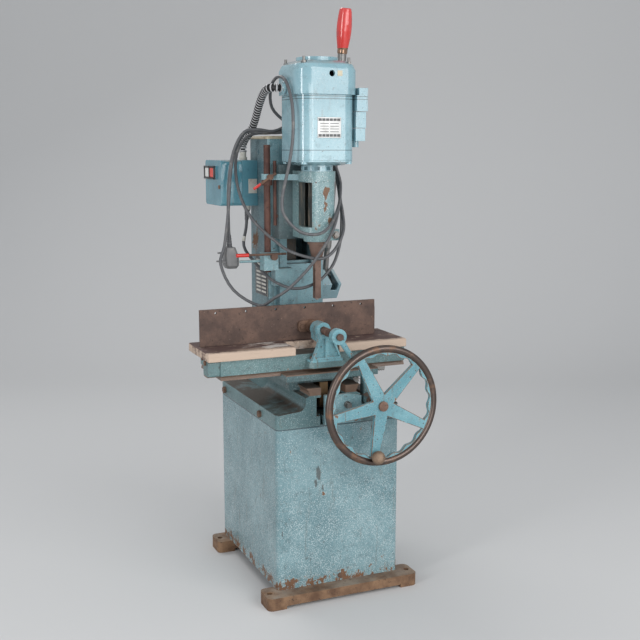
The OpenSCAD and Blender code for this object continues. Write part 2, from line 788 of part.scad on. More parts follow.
module ear_bolt() translate([50, spindle_y - 4, head_z + 14]) {
    translate([0, -8, 0]) ycyl(5, 34);
    translate([0, -3, 0]) ycyl(10, 3);
    translate([0, -9, 0]) rotate([-90, 0, 0]) hexhead(8, 6);
    translate([0, 22, 0]) rotate([-90, 0, 0]) hexhead(8, 7);
}

module chisel_bush() color(rust) translate([0, spindle_y, head_z]) difference() {
    union() {
        cylinder(r = 16, h = 22);
        translate([0, 0, -8]) cylinder(r = 24, h = 8);
        translate([0, 0, -48]) cylinder(r1 = 13, r2 = 21, h = 40);
    }
    translate([0, 0, -49]) cylinder(r = 9.55, h = 72);
}

module hollow_chisel() color(rust) translate([0, spindle_y, head_z]) difference() {
    w = chisel_w;
    union() {
        translate([0, 0, -50]) cylinder(r = 9.5, h = 70);
        translate([-w/2, -w/2, -146]) cube([w, w, 98]);
    }
    translate([0, 0, -147]) cylinder(r = w/2 - 2, h = 180);
    translate([0, 0, -147]) cylinder(r1 = w/2 - 0.3, r2 = w/2 - 2, h = 5);
    slab(-w/2 - 1, 0, -3.5, 3.5, -125, -70);
}

module auger_bit() color(steel) translate([0, spindle_y, head_z]) {
    translate([0, 0, -149]) cylinder(r = chisel_w/2 - 2.5, h = 230);
    translate([0, 0, -151]) cylinder(r1 = 1, r2 = 4, h = 3);
}

module spindle() color(steel) translate([0, spindle_y, 0]) {
    translate([0, 0, head_z + 138]) cylinder(r = 14, h = seam_z + 60 - head_z - 138);
    translate([0, 0, mot_z + 30]) cylinder(r = 39, h = 100);
    translate([0, 0, seam_z + 30]) cylinder(r = 20, h = 18);
    for (k = [0:7])
        rotate(45*k) translate([15, -1.5, seam_z + 30]) cube([45, 3, 18]);
    translate([0, 0, head_z + 80]) difference() {
        union() {
            cylinder(r1 = 13, r2 = 20, h = 18);
            translate([0, 0, 18]) cylinder(r = 22, h = 34);
            translate([0, 0, 52]) cylinder(r1 = 20, r2 = 15, h = 8);
        }
        translate([0, 0, -1]) cylinder(r = chisel_w/2 - 2.48, h = 3);
    }
}

module stator() color([0.3, 0.3, 0.32]) {
    winding();
    bearings();
}

module winding() translate([0, spindle_y, mot_z + 25]) difference() {
    cylinder(r = 66, h = 110);
    translate([0, 0, -1]) cylinder(r = 39.4, h = 112);
}

module bearings() for (z = [mot_z + 2, seam_z - 14])
    translate([0, spindle_y, z]) difference() {
        cylinder(r = 26, h = 12);
        translate([0, 0, -1]) cylinder(r = 14 + run, h = 14);
    }

module motor_flange() color(teal) translate([0, spindle_y, 0]) difference() {
    union() {
        translate([0, 0, slide_z1 - 15]) cylinder(r = 40, h = 16);
        hull() {
            translate([0, 0, slide_z1]) rbox(118, 118, 2, 32);
            translate([0, 0, mot_z - 3]) rbox(motor_w, motor_w, 3, motor_r);
        }
        for (k = [0:3])
            rotate(45 + 90*k) translate([84, 0, mot_z - 9]) cylinder(r = 8, h = 9);
    }
    translate([0, 0, slide_z1 - 16]) cylinder(r = 17, h = 40);
    for (k = [0:7])
        rotate(22.5 + 45*k) translate([30, -7, slide_z1 - 12]) cube([20, 14, 9]);
}

module motor_body() color(teal) translate([0, spindle_y, mot_z]) difference() {
    rbox(motor_w, motor_w, seam_z - mot_z, motor_r);
    translate([0, 0, 25]) cylinder(r = 66.02, h = 110);
    translate([0, 0, 2]) cylinder(r = 26.02, h = 12);
    translate([0, 0, -1]) cylinder(r = 17, h = 180);
    translate([0, 0, 134]) cylinder(r = 60, h = 11);
    translate([0, 0, seam_z - mot_z - 14]) cylinder(r = 26.02, h = 15);
}

module motor_cowl() color(teal) translate([0, spindle_y, seam_z]) difference() {
    union() {
        hull() {
            rbox(cowl_w, cowl_w, 58, motor_r + 2);
            translate([0, 0, 71]) rbox(cowl_w - 14, cowl_w - 14, 1, motor_r - 4);
            translate([0, 0, 78]) rbox(cowl_w - 44, cowl_w - 44, 3, motor_r - 14);
        }
        translate([0, 0, 80]) cylinder(r = 52, h = 10.5);
    }
    translate([0, 0, -1]) rbox(cowl_w - 16, cowl_w - 16, 62, motor_r - 6);
    translate([0, 0, 60]) cylinder(r = 46, h = 23);
    for (k = [0:7])
        rotate(45*k) translate([18, -4, 80]) cube([26, 8, 20]);
    for (sx = [-1, 1], sy = [-1, 1]) translate([sx*pin_at, sy*pin_at, 60]) {
        cylinder(r = 3.8, h = 40);
        translate([0, 0, 13]) cylinder(r = 8, h = 20);
    }
    translate([5, -cowl_w/2 - 1, 49]) ycyl(7.5, 12);
    translate([-cowl_w/2 - 1, 5, 17]) xcyl(9, 12);
}

module cowl_bolts() translate([0, spindle_y, seam_z]) for (sx = [-1, 1], sy = [-1, 1])
    translate([sx*pin_at, sy*pin_at, 73]) {
        translate([0, 0, -8]) cylinder(r = 3.5, h = 24);
        hexhead(6, 6);
    }

module motor_boxes() color(teal) {
    x0 = motor_w/2;
    slab(x0, 106, spindle_y - 72, spindle_y + 28, seam_z - 39, seam_z - slip);
    slab(cowl_w/2, 106, spindle_y - 72, spindle_y + 28, seam_z - 5, seam_z + 17);
    slab(x0, 104, spindle_y - 66, spindle_y + 22, seam_z - 79, seam_z - 40);
    slab(x0, 102, spindle_y - 66, spindle_y + 22, seam_z - 111, seam_z - 80);
    translate([92, spindle_y - 30, seam_z - 126]) cylinder(r = 8, h = 15.1);
    along_y(spindle_y - motor_w/2 - 1, spindle_y - motor_w/2) translate([0, mot_z + 79]) rrect(63, 50, 3);
    translate([-cowl_w/2, spindle_y + 5, seam_z + 17]) {
        translate([-12, 0, 0]) xcyl(13, 12);
        translate([-9, 0, 0]) xcyl(16, 5);
    }
}

module stop_arm() color(teal) difference() {
    union() {
        along_z(arm_z, arm_z + 15) polygon([[-92, 30], [-87, 42], [-34, -14], [-36, -36]]);
        translate([rod_x, rod_y, arm_z]) cylinder(r = 15, h = 15);
    }
    translate([0, spindle_y, arm_z - 3]) along_z(0, 30) rrect(90, 88, 40);
    translate([rod_x, rod_y, arm_z - 1]) cylinder(r = stop_r + 0.02, h = 20);
    translate([rod_x, rod_y - 16, arm_z + 7.5]) ycyl(4 + run, 7);
}

module stop_rods() color(rust) {
    translate([rod_x, rod_y, feed_z + 55]) cylinder(r = stop_r, h = 325);
    translate([rod_x, rod_y, arm_z - 14]) cylinder(r = 14, h = 13.7);
    translate([-77, rod_y, slide_z0 + 35]) cylinder(r = 4.5, h = 165);
    for (z = [55, 150])
        slab(-77, -70, rod_y - 3, rod_y + 3, slide_z0 + z, slide_z0 + z + 8);
}

module collar_lever() color(rust) translate([rod_x, rod_y, arm_z + 7.5]) {
    translate([0, -30, 0]) ycyl(7, 14.7);
    translate([0, -16, 0]) ycyl(4, 6);
    translate([0, -26, 0]) rotate([0, 57, 0]) translate([0, 0, -54]) cylinder(r = 3.5, h = 71);
}

// Switch

module box_base() color([0.12, 0.3, 0.34]) {
    difference() {
        slab(-123, box_x1, box_y0, box_y1, box_z0, box_z1);
        slab(-124, box_x1 - 5, box_y0 + 4, box_y1 - 4, box_z0 + 4, box_z1 - 4);
        for (s = [[29, box_z0 - 1], [58, box_z1 - 5]])
            translate([-100, box_y0 + s[0], s[1]]) cylinder(r = 6.3, h = 6);
    }
    slab(box_x0 + 18, -86, 204, 290, box_z0 + 60, box_z0 + 110);
    slab(-96, box_x1 - 5, 215, 285, box_z0 + 70, box_z0 + 100);
}

module box_cover() color(teal) {
    difference() {
        translate([0, (box_y0 + box_y1)/2, (box_z0 + box_z1)/2])
            rotate([0, 90, 0]) translate([0, 0, box_x0])
                rbox(box_z1 - box_z0, box_y1 - box_y0, -123.3 - box_x0, 10);
        slab(box_x0 + 4, -120, box_y0 + 8, box_y1 - 8, box_z0 + 8, box_z1 - 8);
        slab(box_x0 - 1, box_x0 + 5, 212, 290, box_z0 + 74, box_z0 + 100);
    }
    color([0.15, 0.15, 0.16]) difference() {
        slab(box_x0 - 2, box_x0 + 1, 206, 296, box_z0 + 70, box_z0 + 104);
        for (y = [212, 254])
            slab(box_x0 - 3, box_x0 + 6, y, y + 36, box_z0 + 74, box_z0 + 100);
    }
}

module button_white() color([0.9, 0.9, 0.88])
    slab(box_x0 - 5, box_x0 + 14, 254.4, 289.6, box_z0 + 74.4, box_z0 + 99.6);

module button_red() color([0.85, 0.15, 0.08])
    slab(box_x0 - 5, box_x0 + 14, 212.4, 247.6, box_z0 + 74.4, box_z0 + 99.6);

module cover_screw() translate([box_x0 - 3, 176, box_z0 + 50]) xcyl(5, 3);

module trim() color([0.8, 0.77, 0.66]) {
    translate([-100, box_y0 + 29, box_z0 - 12]) cylinder(r = 9, h = 12);
    translate([-100, box_y0 + 58, box_z1]) {
        cylinder(r = 11, h = 8);
        translate([0, 0, 7]) cylinder(r = 8.5, h = 15);
    }
    slab(-106, -82, box_y0 - 1, box_y0, box_z0 + 33, box_z0 + 71);
    slab(-81, -80, 92, 184, feed_z - 18, feed_z + 85);
}

// Hose and lead

function unit(v) = v/norm(v);
function cr(a, b, c, d, t) = 0.5*((2*b) + (c - a)*t + (2*a - 5*b + 4*c - d)*t*t
    + (3*b - a - 3*c + d)*t*t*t);
function spline(p, n) = concat([for (i = [0:len(p) - 2], j = [0:n - 1])
    cr(p[max(i - 1, 0)], p[i], p[i + 1], p[min(i + 2, len(p) - 1)], j/n)], [p[len(p) - 1]]);
function dir(p, i) = unit(p[min(i + 1, len(p) - 1)] - p[max(i - 1, 0)]);
function carry(p, i, n) = let(d = dir(p, i), m = n - (n*d)*d, u = unit(m))
    i == len(p) - 1 ? [u] : concat([u], carry(p, i + 1, u));
function ring_at(c, d, n, r, s) = let(b = cross(d, n))
    [for (k = [0:s - 1]) c + r*(cos(360*k/s)*n + sin(360*k/s)*b)];

module tube(p, radii, s) {
    n0 = abs(dir(p, 0)[2]) > 0.9 ? [1, 0, 0] : [0, 0, 1];
    ns = carry(p, 0, n0);
    m = len(p);
    pts = [for (i = [0:m - 1]) each ring_at(p[i], dir(p, i), ns[i], radii[i], s)];
    faces = concat([[for (k = [0:s - 1]) k]],
        [for (i = [0:m - 2], k = [0:s - 1])
            [i*s + k, (i + 1)*s + k, (i + 1)*s + (k + 1) % s]],
        [for (i = [0:m - 2], k = [0:s - 1])
            [i*s + k, (i + 1)*s + (k + 1) % s, i*s + (k + 1) % s]],
        [[for (k = [s - 1:-1:0]) (m - 1)*s + k]]);
    polyhedron(points = pts, faces = faces, convexity = 10);
}

// Ribbed hose with a bore; each rib is one wide and one narrow ring
module hose(p, wide, narrow, bore, s, skip) {
    n0 = abs(dir(p, 0)[2]) > 0.9 ? [1, 0, 0] : [0, 0, 1];
    ns = carry(p, 0, n0);
    m = len(p);
    q = floor((m - 1)/skip);
    outer = [for (i = [0:m - 1])
        each ring_at(p[i], dir(p, i), ns[i], i % 2 == 0 ? wide : narrow, s)];
    inner = [for (i = [0:q]) each ring_at(p[i*skip], dir(p, i*skip), ns[i*skip], bore, s)];
    a = m*s;
    faces = concat(
        [for (i = [0:m - 2], k = [0:s - 1])
            [i*s + k, (i + 1)*s + k, (i + 1)*s + (k + 1) % s]],
        [for (i = [0:m - 2], k = [0:s - 1])
            [i*s + k, (i + 1)*s + (k + 1) % s, i*s + (k + 1) % s]],
        [for (i = [0:q - 1], k = [0:s - 1])
            [a + i*s + k, a + (i + 1)*s + (k + 1) % s, a + (i + 1)*s + k]],
        [for (i = [0:q - 1], k = [0:s - 1])
            [a + i*s + k, a + i*s + (k + 1) % s, a + (i + 1)*s + (k + 1) % s]],
        [for (k = [0:s - 1]) [k, (k + 1) % s, a + (k + 1) % s]],
        [for (k = [0:s - 1]) [k, a + (k + 1) % s, a + k]],
        [for (k = [0:s - 1]) [(m - 1)*s + (k + 1) % s, (m - 1)*s + k, a + q*s + k]],
        [for (k = [0:s - 1])
            [(m - 1)*s + (k + 1) % s, a + q*s + k, a + q*s + (k + 1) % s]]);
    polyhedron(points = concat(outer, inner), faces = faces, convexity = 10);
}

hose_pts = [[-95, -48, 1262], [-110, -48, 1262], [-119, -30, 1261], [-118, 10, 1250],
    [-112, 60, 1222], [-104, 110, 1190], [-100, 160, 1158], [-100, 202, 1140],
    [-100, 221, 1124], [-100, 221, 1108.4]];

module conduit() color(black) hose(spline(hose_pts, 16), 10.5, 9, 7, 8, 4);

lead_pts = [[-100, 192, 952], [-106, 186, 905], [-122, 160, 858], [-112, 105, 820],
    [-92, 40, 782], [-62, -6, 764], [-34, -22, 762], [-6, -28, 769],
    [26, -28, 786], [58, -26, 821], [78, -20, 869], [88, -10, 920],
    [92, 4, 975], [92, 30, 1040], [74, 46, 1095], [30, 60, 1132],
    [-10, 84, 1158], [-50, 100, 1156], [-95, 112, 1158], [-126, 124, 1158],
    [-146, 126, 1130], [-163, 120, 1090], [-174, 112, 1040], [-184, 102, 950],
    [-199, 90, 868], [-214, 78, 822], [-190, 50, 757], [-142, -10, 722],
    [-112, -40, 743], [-84, -62, 766], [-51, -76, 801], [-21, -86, 838],
    [7, -104, 889], [29, -98, 927], [58, -60, 974], [80, -14, 1005],
    [86, 24, 1060], [62, 42, 1104], [20, 58, 1138], [-20, 86, 1166],
    [-60, 116, 1156], [-98, 130, 1154], [-126, 138, 1138], [-150, 134, 1090],
    [-154, 105, 1010], [-132, 60, 935], [-86, -10, 876], [-62, -46, 857],
    [-15, -78, 843], [18, -80, 848], [46, -76, 872], [70, -62, 911],
    [79, -36, 953], [86, -2, 990], [91, 20, 1020], [84, 38, 1075],
    [44, 46, 1118], [0, 54, 1156], [-40, 62, 1184], [-80, 50, 1218],
    [-98, 10, 1264], [-98, -34, 1288], [-94, -80, 1278], [-90, -112, 1225],
    [-90, -118, 1150], [-100, -118, 1080], [-116, -112, 1000], [-112, -116, 955],
    [-76, -128, 916], [-26, -126, 909], [12, -112, 929], [48, -76, 968],
    [72, -36, 998], [88, 4, 1040], [70, 32, 1106], [30, 54, 1148],
    [-10, 84, 1176], [-60, 94, 1160], [-100, 100, 1164], [-134, 112, 1158],
    [-160, 120, 1110], [-175, 116, 1040], [-181, 110, 960], [-181, 105, 874.8]];

module mains_lead() color([0.25, 0.25, 0.26]) tube(lead_pts, [for (p = lead_pts) 4], 8);

module plug() color([0.3, 0.3, 0.31]) {
    translate([-181, 105, 862]) cylinder(r = 6.5, h = 12);
    hull() {
        translate([-181, 105, 840]) rbox(26, 34, 22, 8);
        translate([-178, 105, 815]) rbox(36, 44, 24, 10);
        translate([-178, 105, 807]) rbox(26, 34, 9, 8);
    }
    for (p = [[105, 846], [94, 823], [116, 823]])
        translate([-213, p[0] - 3, p[1]]) cube([20, 6, 4]);
}

foot_bars();
cabinet();
base_bolts();
top_casting();
screw_bracket();
column();
column_cap();
gear_cover();
lever_housing();
shaft_bush();
stop_block();
box_base();
box_cover();
trim();
plug();
conduit();
mains_lead();
cross_screw();
saddle();
saddle_gibs();
cross_nut();
idler();
table_casting();
end_cap();
table_rack();
boards();
rear_fence();
clamp_bracket();
table_bolts();
clamp_plate();
clamp_swivel();
clamp_screw();
clamp_crank();
wheel_disc();
wheel_rim();
wheel_shaft();
wheel_knob();
feed_shaft();
feed_lever();
lever_grip();
stop_latch();
head_slide();
slide_gib();
feed_rack();
head_casting();
chisel_bush();
hollow_chisel();
motor_flange();
motor_body();
motor_cowl();
stator();
motor_boxes();
stop_rods();
stop_arm();
head_bolts();
spindle();
auger_bit();
collar_lever();
button_white();
button_red();
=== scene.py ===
# %% [markdown]
# # A hollow chisel mortiser
# The machine stands on two cast foot bars: a sheet metal cabinet, a top casting with
# ways, a table on a saddle, and a column that carries the motor head. The measured
# parts are loaded as a frame. Here they get their rounded edges, threads, hose, lead,
# boards and worn finishes. Places are written in millimetres in the machine's frame.

import json
import math

import bmesh
import bpy
from mathutils import Matrix, Vector, noise


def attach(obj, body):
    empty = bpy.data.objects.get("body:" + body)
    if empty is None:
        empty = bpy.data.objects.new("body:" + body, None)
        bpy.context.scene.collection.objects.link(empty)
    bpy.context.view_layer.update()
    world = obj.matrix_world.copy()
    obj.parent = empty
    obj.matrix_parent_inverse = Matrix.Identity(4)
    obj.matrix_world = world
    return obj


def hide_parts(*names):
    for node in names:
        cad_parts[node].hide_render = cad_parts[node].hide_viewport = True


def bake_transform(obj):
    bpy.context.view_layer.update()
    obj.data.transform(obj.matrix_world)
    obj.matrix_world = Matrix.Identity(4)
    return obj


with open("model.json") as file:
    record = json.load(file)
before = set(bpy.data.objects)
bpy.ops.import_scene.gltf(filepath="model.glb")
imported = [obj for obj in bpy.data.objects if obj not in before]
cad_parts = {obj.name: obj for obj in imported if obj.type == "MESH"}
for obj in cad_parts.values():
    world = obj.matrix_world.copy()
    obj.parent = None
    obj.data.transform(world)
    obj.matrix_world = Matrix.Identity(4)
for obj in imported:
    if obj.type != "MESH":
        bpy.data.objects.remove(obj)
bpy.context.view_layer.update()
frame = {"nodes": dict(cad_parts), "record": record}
MM = 0.001
X, Y, Z = 0, 1, 2

# %% [markdown]
# The camera stands where the picture was taken: to the left of the machine, a little
# above the table, looking slightly down. Its lens was worked out from straight edges.

# %% Camera
CAMERA_PLACE = Vector((-1.0149, -2.4311, 1.1198))
CAMERA_TURN = math.radians(23.283)
CAMERA_DIP = math.radians(9.613)
LENS, SENSOR = 57.48, 36


def put(name, data):
    """Puts a new object with this data into the scene."""
    thing = bpy.data.objects.new(name, data)
    bpy.context.collection.objects.link(thing)
    return thing


def aim(thing, direction):
    """Turns a camera or a lamp so that it looks in a direction."""
    thing.rotation_euler = direction.to_track_quat("-Z", "Y").to_euler()


camera = put("camera", bpy.data.cameras.new("camera"))
camera.data.lens = LENS
camera.data.sensor_width = SENSOR
camera.location = CAMERA_PLACE
level = math.cos(CAMERA_DIP)
aim(camera, Vector((math.sin(CAMERA_TURN) * level, math.cos(CAMERA_TURN) * level,
                    -math.sin(CAMERA_DIP))))
bpy.context.scene.camera = camera
print("camera:", [round(v, 3) for v in camera.location])

# %% [markdown]
# A few small helpers make meshes. `lathe` turns an outline round an axis, as a wood
# turner would, and `sweep` draws a tube along a smooth line. Both are rows of rings, so
# they share the faces between the rings. Every point is in the machine's own frame, so a
# piece needs no placing afterwards.

# %% Mesh helpers
MERGE = 1e-6
TURNED_SHARP = math.radians(38)


def add_mesh(name, points, faces):
    mesh = bpy.data.meshes.new(name)
    mesh.from_pydata([tuple(p) for p in points], [], faces)
    mesh.validate()
    mesh.shade_smooth()
    return put(name, mesh)


def face_out(piece):
    """Merges doubled points and turns every face outwards."""
    form = bmesh.new()
    form.from_mesh(piece.data)
    bmesh.ops.remove_doubles(form, verts=form.verts, dist=MERGE)
    bmesh.ops.recalc_face_normals(form, faces=form.faces)
    form.to_mesh(piece.data)
    form.free()
    piece.data.set_sharp_from_angle(angle=TURNED_SHARP)
    return piece


def spokes(side, other, count):
    """Unit vectors all round, in the plane of two directions."""
    turns = [2 * math.pi * k / count for k in range(count)]
    return [side * math.cos(turn) + other * math.sin(turn) for turn in turns]


def ring_faces(rings, count):
    """Faces that join rings of count points into a tube, and its two flat ends."""
    faces = []
    for i in range(rings - 1):
        for k in range(count):
            a, b = i * count + k, i * count + (k + 1) % count
            faces.append((a, b, b + count, a + count))
    last = (rings - 1) * count
    return faces + [tuple(range(count)), tuple(range(last, last + count))]


def lathe(name, outline, foot, direction, steps=48):
    """Turns an outline of (height, radius) pairs in mm round an axis that starts at foot."""
    along = Vector(direction).normalized()
    side = along.orthogonal().normalized()
    ring = spokes(side, along.cross(side), steps)
    points = []
    for height, radius in outline:
        centre = Vector(foot) * MM + along * height * MM
        points += [centre + spoke * radius * MM for spoke in ring]
    return face_out(add_mesh(name, points, ring_faces(len(outline), steps)))


def smooth_line(points, steps):
    """A curve through the points, with so many steps from one point to the next."""
    line = []
    for i in range(len(points) - 1):
        a, b = points[max(i - 1, 0)], points[i]
        c, d = points[i + 1], points[min(i + 2, len(points) - 1)]
        for j in range(steps):
            t = j / steps
            line.append([0.5 * (2 * q + (r - p) * t + (2 * p - 5 * q + 4 * r - s) * t * t
                                + (3 * q - p - 3 * r + s) * t ** 3)
                         for p, q, r, s in zip(a, b, c, d)])
    return [Vector(p) * MM for p in line + [list(points[-1])]]


def sweep(name, line, radius, sides=12):
    """A round tube along a line; its cross direction is carried on without twisting."""
    points, side = [], None
    for i, place in enumerate(line):
        ahead = (line[min(i + 1, len(line) - 1)] - line[max(i - 1, 0)]).normalized()
        if side is None:
            side = ahead.orthogonal()
        side = (side - ahead * side.dot(ahead)).normalized()
        points += [place + spoke * radius for spoke in spokes(side, ahead.cross(side), sides)]
    return face_out(add_mesh(name, points, ring_faces(len(line), sides)))


def line_length(line):
    return sum((b - a).length for a, b in zip(line, line[1:]))


print("mesh helpers ready")

# %% [markdown]
# The mains lead leaves the switch box through its lower gland and hangs in loops round
# the head, as it was wound up for storage. It is one smooth rubber tube.
# A turn of pale tape sits on it below the switch box.

# %% Mains lead
LEAD_D = 8 * MM
LEAD_ROUTE = [
    (-100, 192, 952), (-106, 186, 905), (-122, 160, 858), (-112, 105, 820),
    (-92, 40, 782), (-62, -6, 764), (-34, -22, 762), (-6, -28, 769),
    (26, -28, 786), (58, -26, 821), (78, -20, 869), (88, -10, 920),
    (92, 4, 975), (92, 30, 1040), (74, 46, 1095), (30, 60, 1132),
    (-10, 84, 1158), (-50, 100, 1156), (-95, 112, 1158), (-126, 124, 1158),
    (-146, 126, 1130), (-163, 120, 1090), (-174, 112, 1040), (-184, 102, 950),
    (-199, 90, 868), (-214, 78, 822), (-190, 50, 757), (-142, -10, 722),
    (-112, -40, 743), (-84, -62, 766), (-51, -76, 801), (-21, -86, 838),
    (7, -104, 889), (29, -98, 927), (58, -60, 974), (80, -14, 1005),
    (86, 24, 1060), (62, 42, 1104), (20, 58, 1138), (-20, 86, 1166),
    (-60, 116, 1156), (-98, 130, 1154), (-126, 138, 1138), (-150, 134, 1090),
    (-154, 105, 1010), (-132, 60, 935), (-86, -10, 876), (-62, -46, 857),
    (-15, -78, 843), (18, -80, 848), (46, -76, 872), (70, -62, 911),
    (79, -36, 953), (86, -2, 990), (91, 20, 1020), (84, 38, 1075),
    (44, 46, 1118), (0, 54, 1156), (-40, 62, 1184), (-80, 50, 1218),
    (-98, 10, 1264), (-98, -34, 1288), (-94, -80, 1278), (-90, -112, 1225),
    (-90, -118, 1150), (-100, -118, 1080), (-116, -112, 1000), (-112, -116, 955),
    (-76, -128, 916), (-26, -126, 909), (12, -112, 929), (48, -76, 968),
    (72, -36, 998), (88, 4, 1040), (70, 32, 1106), (30, 54, 1148),
    (-10, 84, 1176), (-60, 94, 1160), (-100, 100, 1164), (-134, 112, 1158),
    (-160, 120, 1110), (-175, 116, 1040), (-181, 110, 960), (-181, 105, 874.8)]
LEAD_STEPS = 4
TAPED, TAPE_THICK = slice(6, 8), 0.6 * MM

lead_line = smooth_line(LEAD_ROUTE, LEAD_STEPS)
lead = sweep("lead", lead_line, LEAD_D / 2)
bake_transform(lead)
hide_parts("mains_lead")
lead_tape = sweep("lead_tape", lead_line[TAPED], LEAD_D / 2 + TAPE_THICK, 16)
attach(lead_tape, "stand")
print("lead:", round(line_length(lead_line), 3), "m")

# %% [markdown]
# The plug hangs on the lead's end. Its tapered sleeve and the sleeve under the switch
# box keep the lead from bending sharply; both are turned shapes with shallow grooves.

# %% Sleeves of the lead
GROOVE = 0.9


def grooved_sleeve(name, foot, direction, length, wide, narrow, rings):
    outline = [(0, wide)]
    for k in range(rings):
        start, rest = length * k / rings, length / rings
        radius = wide + (narrow - wide) * k / rings
        for part, deep in ((0.1, 0), (0.6, 0), (0.7, GROOVE), (0.95, GROOVE)):
            outline.append((start + part * rest, radius - deep))
    outline.append((length, narrow))
    return lathe(name, outline, foot, direction, 32)


plug_sleeve = grooved_sleeve("plug_sleeve", (-181, 105, 861), (0, 0.02, 1), 34, 7.6, 5.0, 5)
box_sleeve = grooved_sleeve("box_sleeve", (-100, 192, 954), (-0.12, -0.12, -1), 30, 7.2, 5.0, 4)
for sleeve in (plug_sleeve, box_sleeve):
    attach(sleeve, "stand")
print("sleeves:", plug_sleeve.name, box_sleeve.name)

# %% [markdown]
# Geometry Nodes repeat things by a rule. One small class stands for an output socket,
# so that sums on it add Math nodes, and one method adds any node with its inputs and
# its settings. The same class serves the shaders further down.

# %% Node helpers
class Wire:
    """An output socket that can be used in plain arithmetic."""

    def __init__(self, board, socket):
        self.board, self.socket = board, socket

    def __add__(self, other):
        return self.board.calc("ADD", self, other)

    def __sub__(self, other):
        return self.board.calc("SUBTRACT", self, other)

    def __rsub__(self, other):
        return self.board.calc("SUBTRACT", other, self)

    def __mul__(self, other):
        return self.board.calc("MULTIPLY", self, other)

    __radd__, __rmul__ = __add__, __mul__


class Outputs:
    """The output sockets of a node, by name or number."""

    def __init__(self, board, node):
        self.board, self.node = board, node

    def __getitem__(self, key):
        return Wire(self.board, self.node.outputs[key])


class Board:
    """A node tree that nodes are added to."""

    def __init__(self, tree):
        self.tree = tree

    def add(self, kind, inputs=None, **settings):
        node = self.tree.nodes.new(kind)
        for name, value in settings.items():
            setattr(node, name, value)
        for key, value in (inputs or {}).items():
            if isinstance(value, Wire):
                self.tree.links.new(value.socket, node.inputs[key])
            else:
                node.inputs[key].default_value = value
        return Outputs(self, node)

    def calc(self, operation, first, second=0.0):
        return self.add("ShaderNodeMath", {0: first, 1: second}, operation=operation)[0]


def new_growth(name, sizes):
    """A Geometry Nodes tree with a geometry input and named sizes."""
    tree = bpy.data.node_groups.new(name, "GeometryNodeTree")
    tree.interface.new_socket("Geometry", in_out="INPUT", socket_type="NodeSocketGeometry")
    for size, value in sizes.items():
        kind = "NodeSocketInt" if isinstance(value, int) else "NodeSocketFloat"
        socket = tree.interface.new_socket(size, in_out="INPUT", socket_type=kind)
        socket.default_value = value
    tree.interface.new_socket("Geometry", in_out="OUTPUT", socket_type="NodeSocketGeometry")
    board = Board(tree)
    return board, board.add("NodeGroupInput")


def circle(board, corners, radius):
    return board.add("GeometryNodeCurvePrimitiveCircle", {
        "Resolution": corners, "Radius": radius})[0]


def swept(board, curve, profile, caps=True):
    return board.add("GeometryNodeCurveToMesh", {
        0: curve, "Profile Curve": profile, "Fill Caps": caps})[0]


def coated(board, geometry, material, **chosen):
    """Gives the geometry a material, or only the faces of a chosen Selection."""
    return board.add("GeometryNodeSetMaterial", {0: geometry, "Material": material, **chosen})[0]


def end_growth(board, geometry):
    """Makes instances real and sends the geometry out of the tree."""
    real = board.add("GeometryNodeRealizeInstances", {0: geometry})[0]
    board.add("NodeGroupOutput", {0: real})


def applied(piece, modifier):
    """The piece's mesh as this modifier makes it; the modifier is then taken off."""
    bpy.context.view_layer.update()
    shape = piece.evaluated_get(bpy.context.evaluated_depsgraph_get())
    mesh = bpy.data.meshes.new_from_object(shape)
    piece.modifiers.remove(modifier)
    return mesh


def grown(name, board, sizes=(), line=(Vector(),)):
    """The mesh that the tree makes with these sizes from a line, a host that is removed."""
    mesh = bpy.data.meshes.new(name + "_host")
    mesh.from_pydata([tuple(p) for p in line], [(i, i + 1) for i in range(len(line) - 1)], [])
    host = put(name + "_host", mesh)
    modifier = host.modifiers.new(name, "NODES")
    modifier.node_group = board.tree
    for item in board.tree.interface.items_tree:
        if item.in_out == "INPUT" and item.name in sizes:
            modifier[item.identifier] = sizes[item.name]
    piece = put(name, applied(host, modifier))
    bpy.data.objects.remove(host)
    return face_out(piece)


print("node helpers ready")

# %% [markdown]
# A finish starts from the Principled shader. Patterns are read at the object's own
# coordinates, in metres, so a noise of scale 100 has features of about 10 mm.

# %% Finish helper
MIX_FACTOR, MIX_FIRST, MIX_SECOND, MIX_RESULT = 0, 6, 7, 2


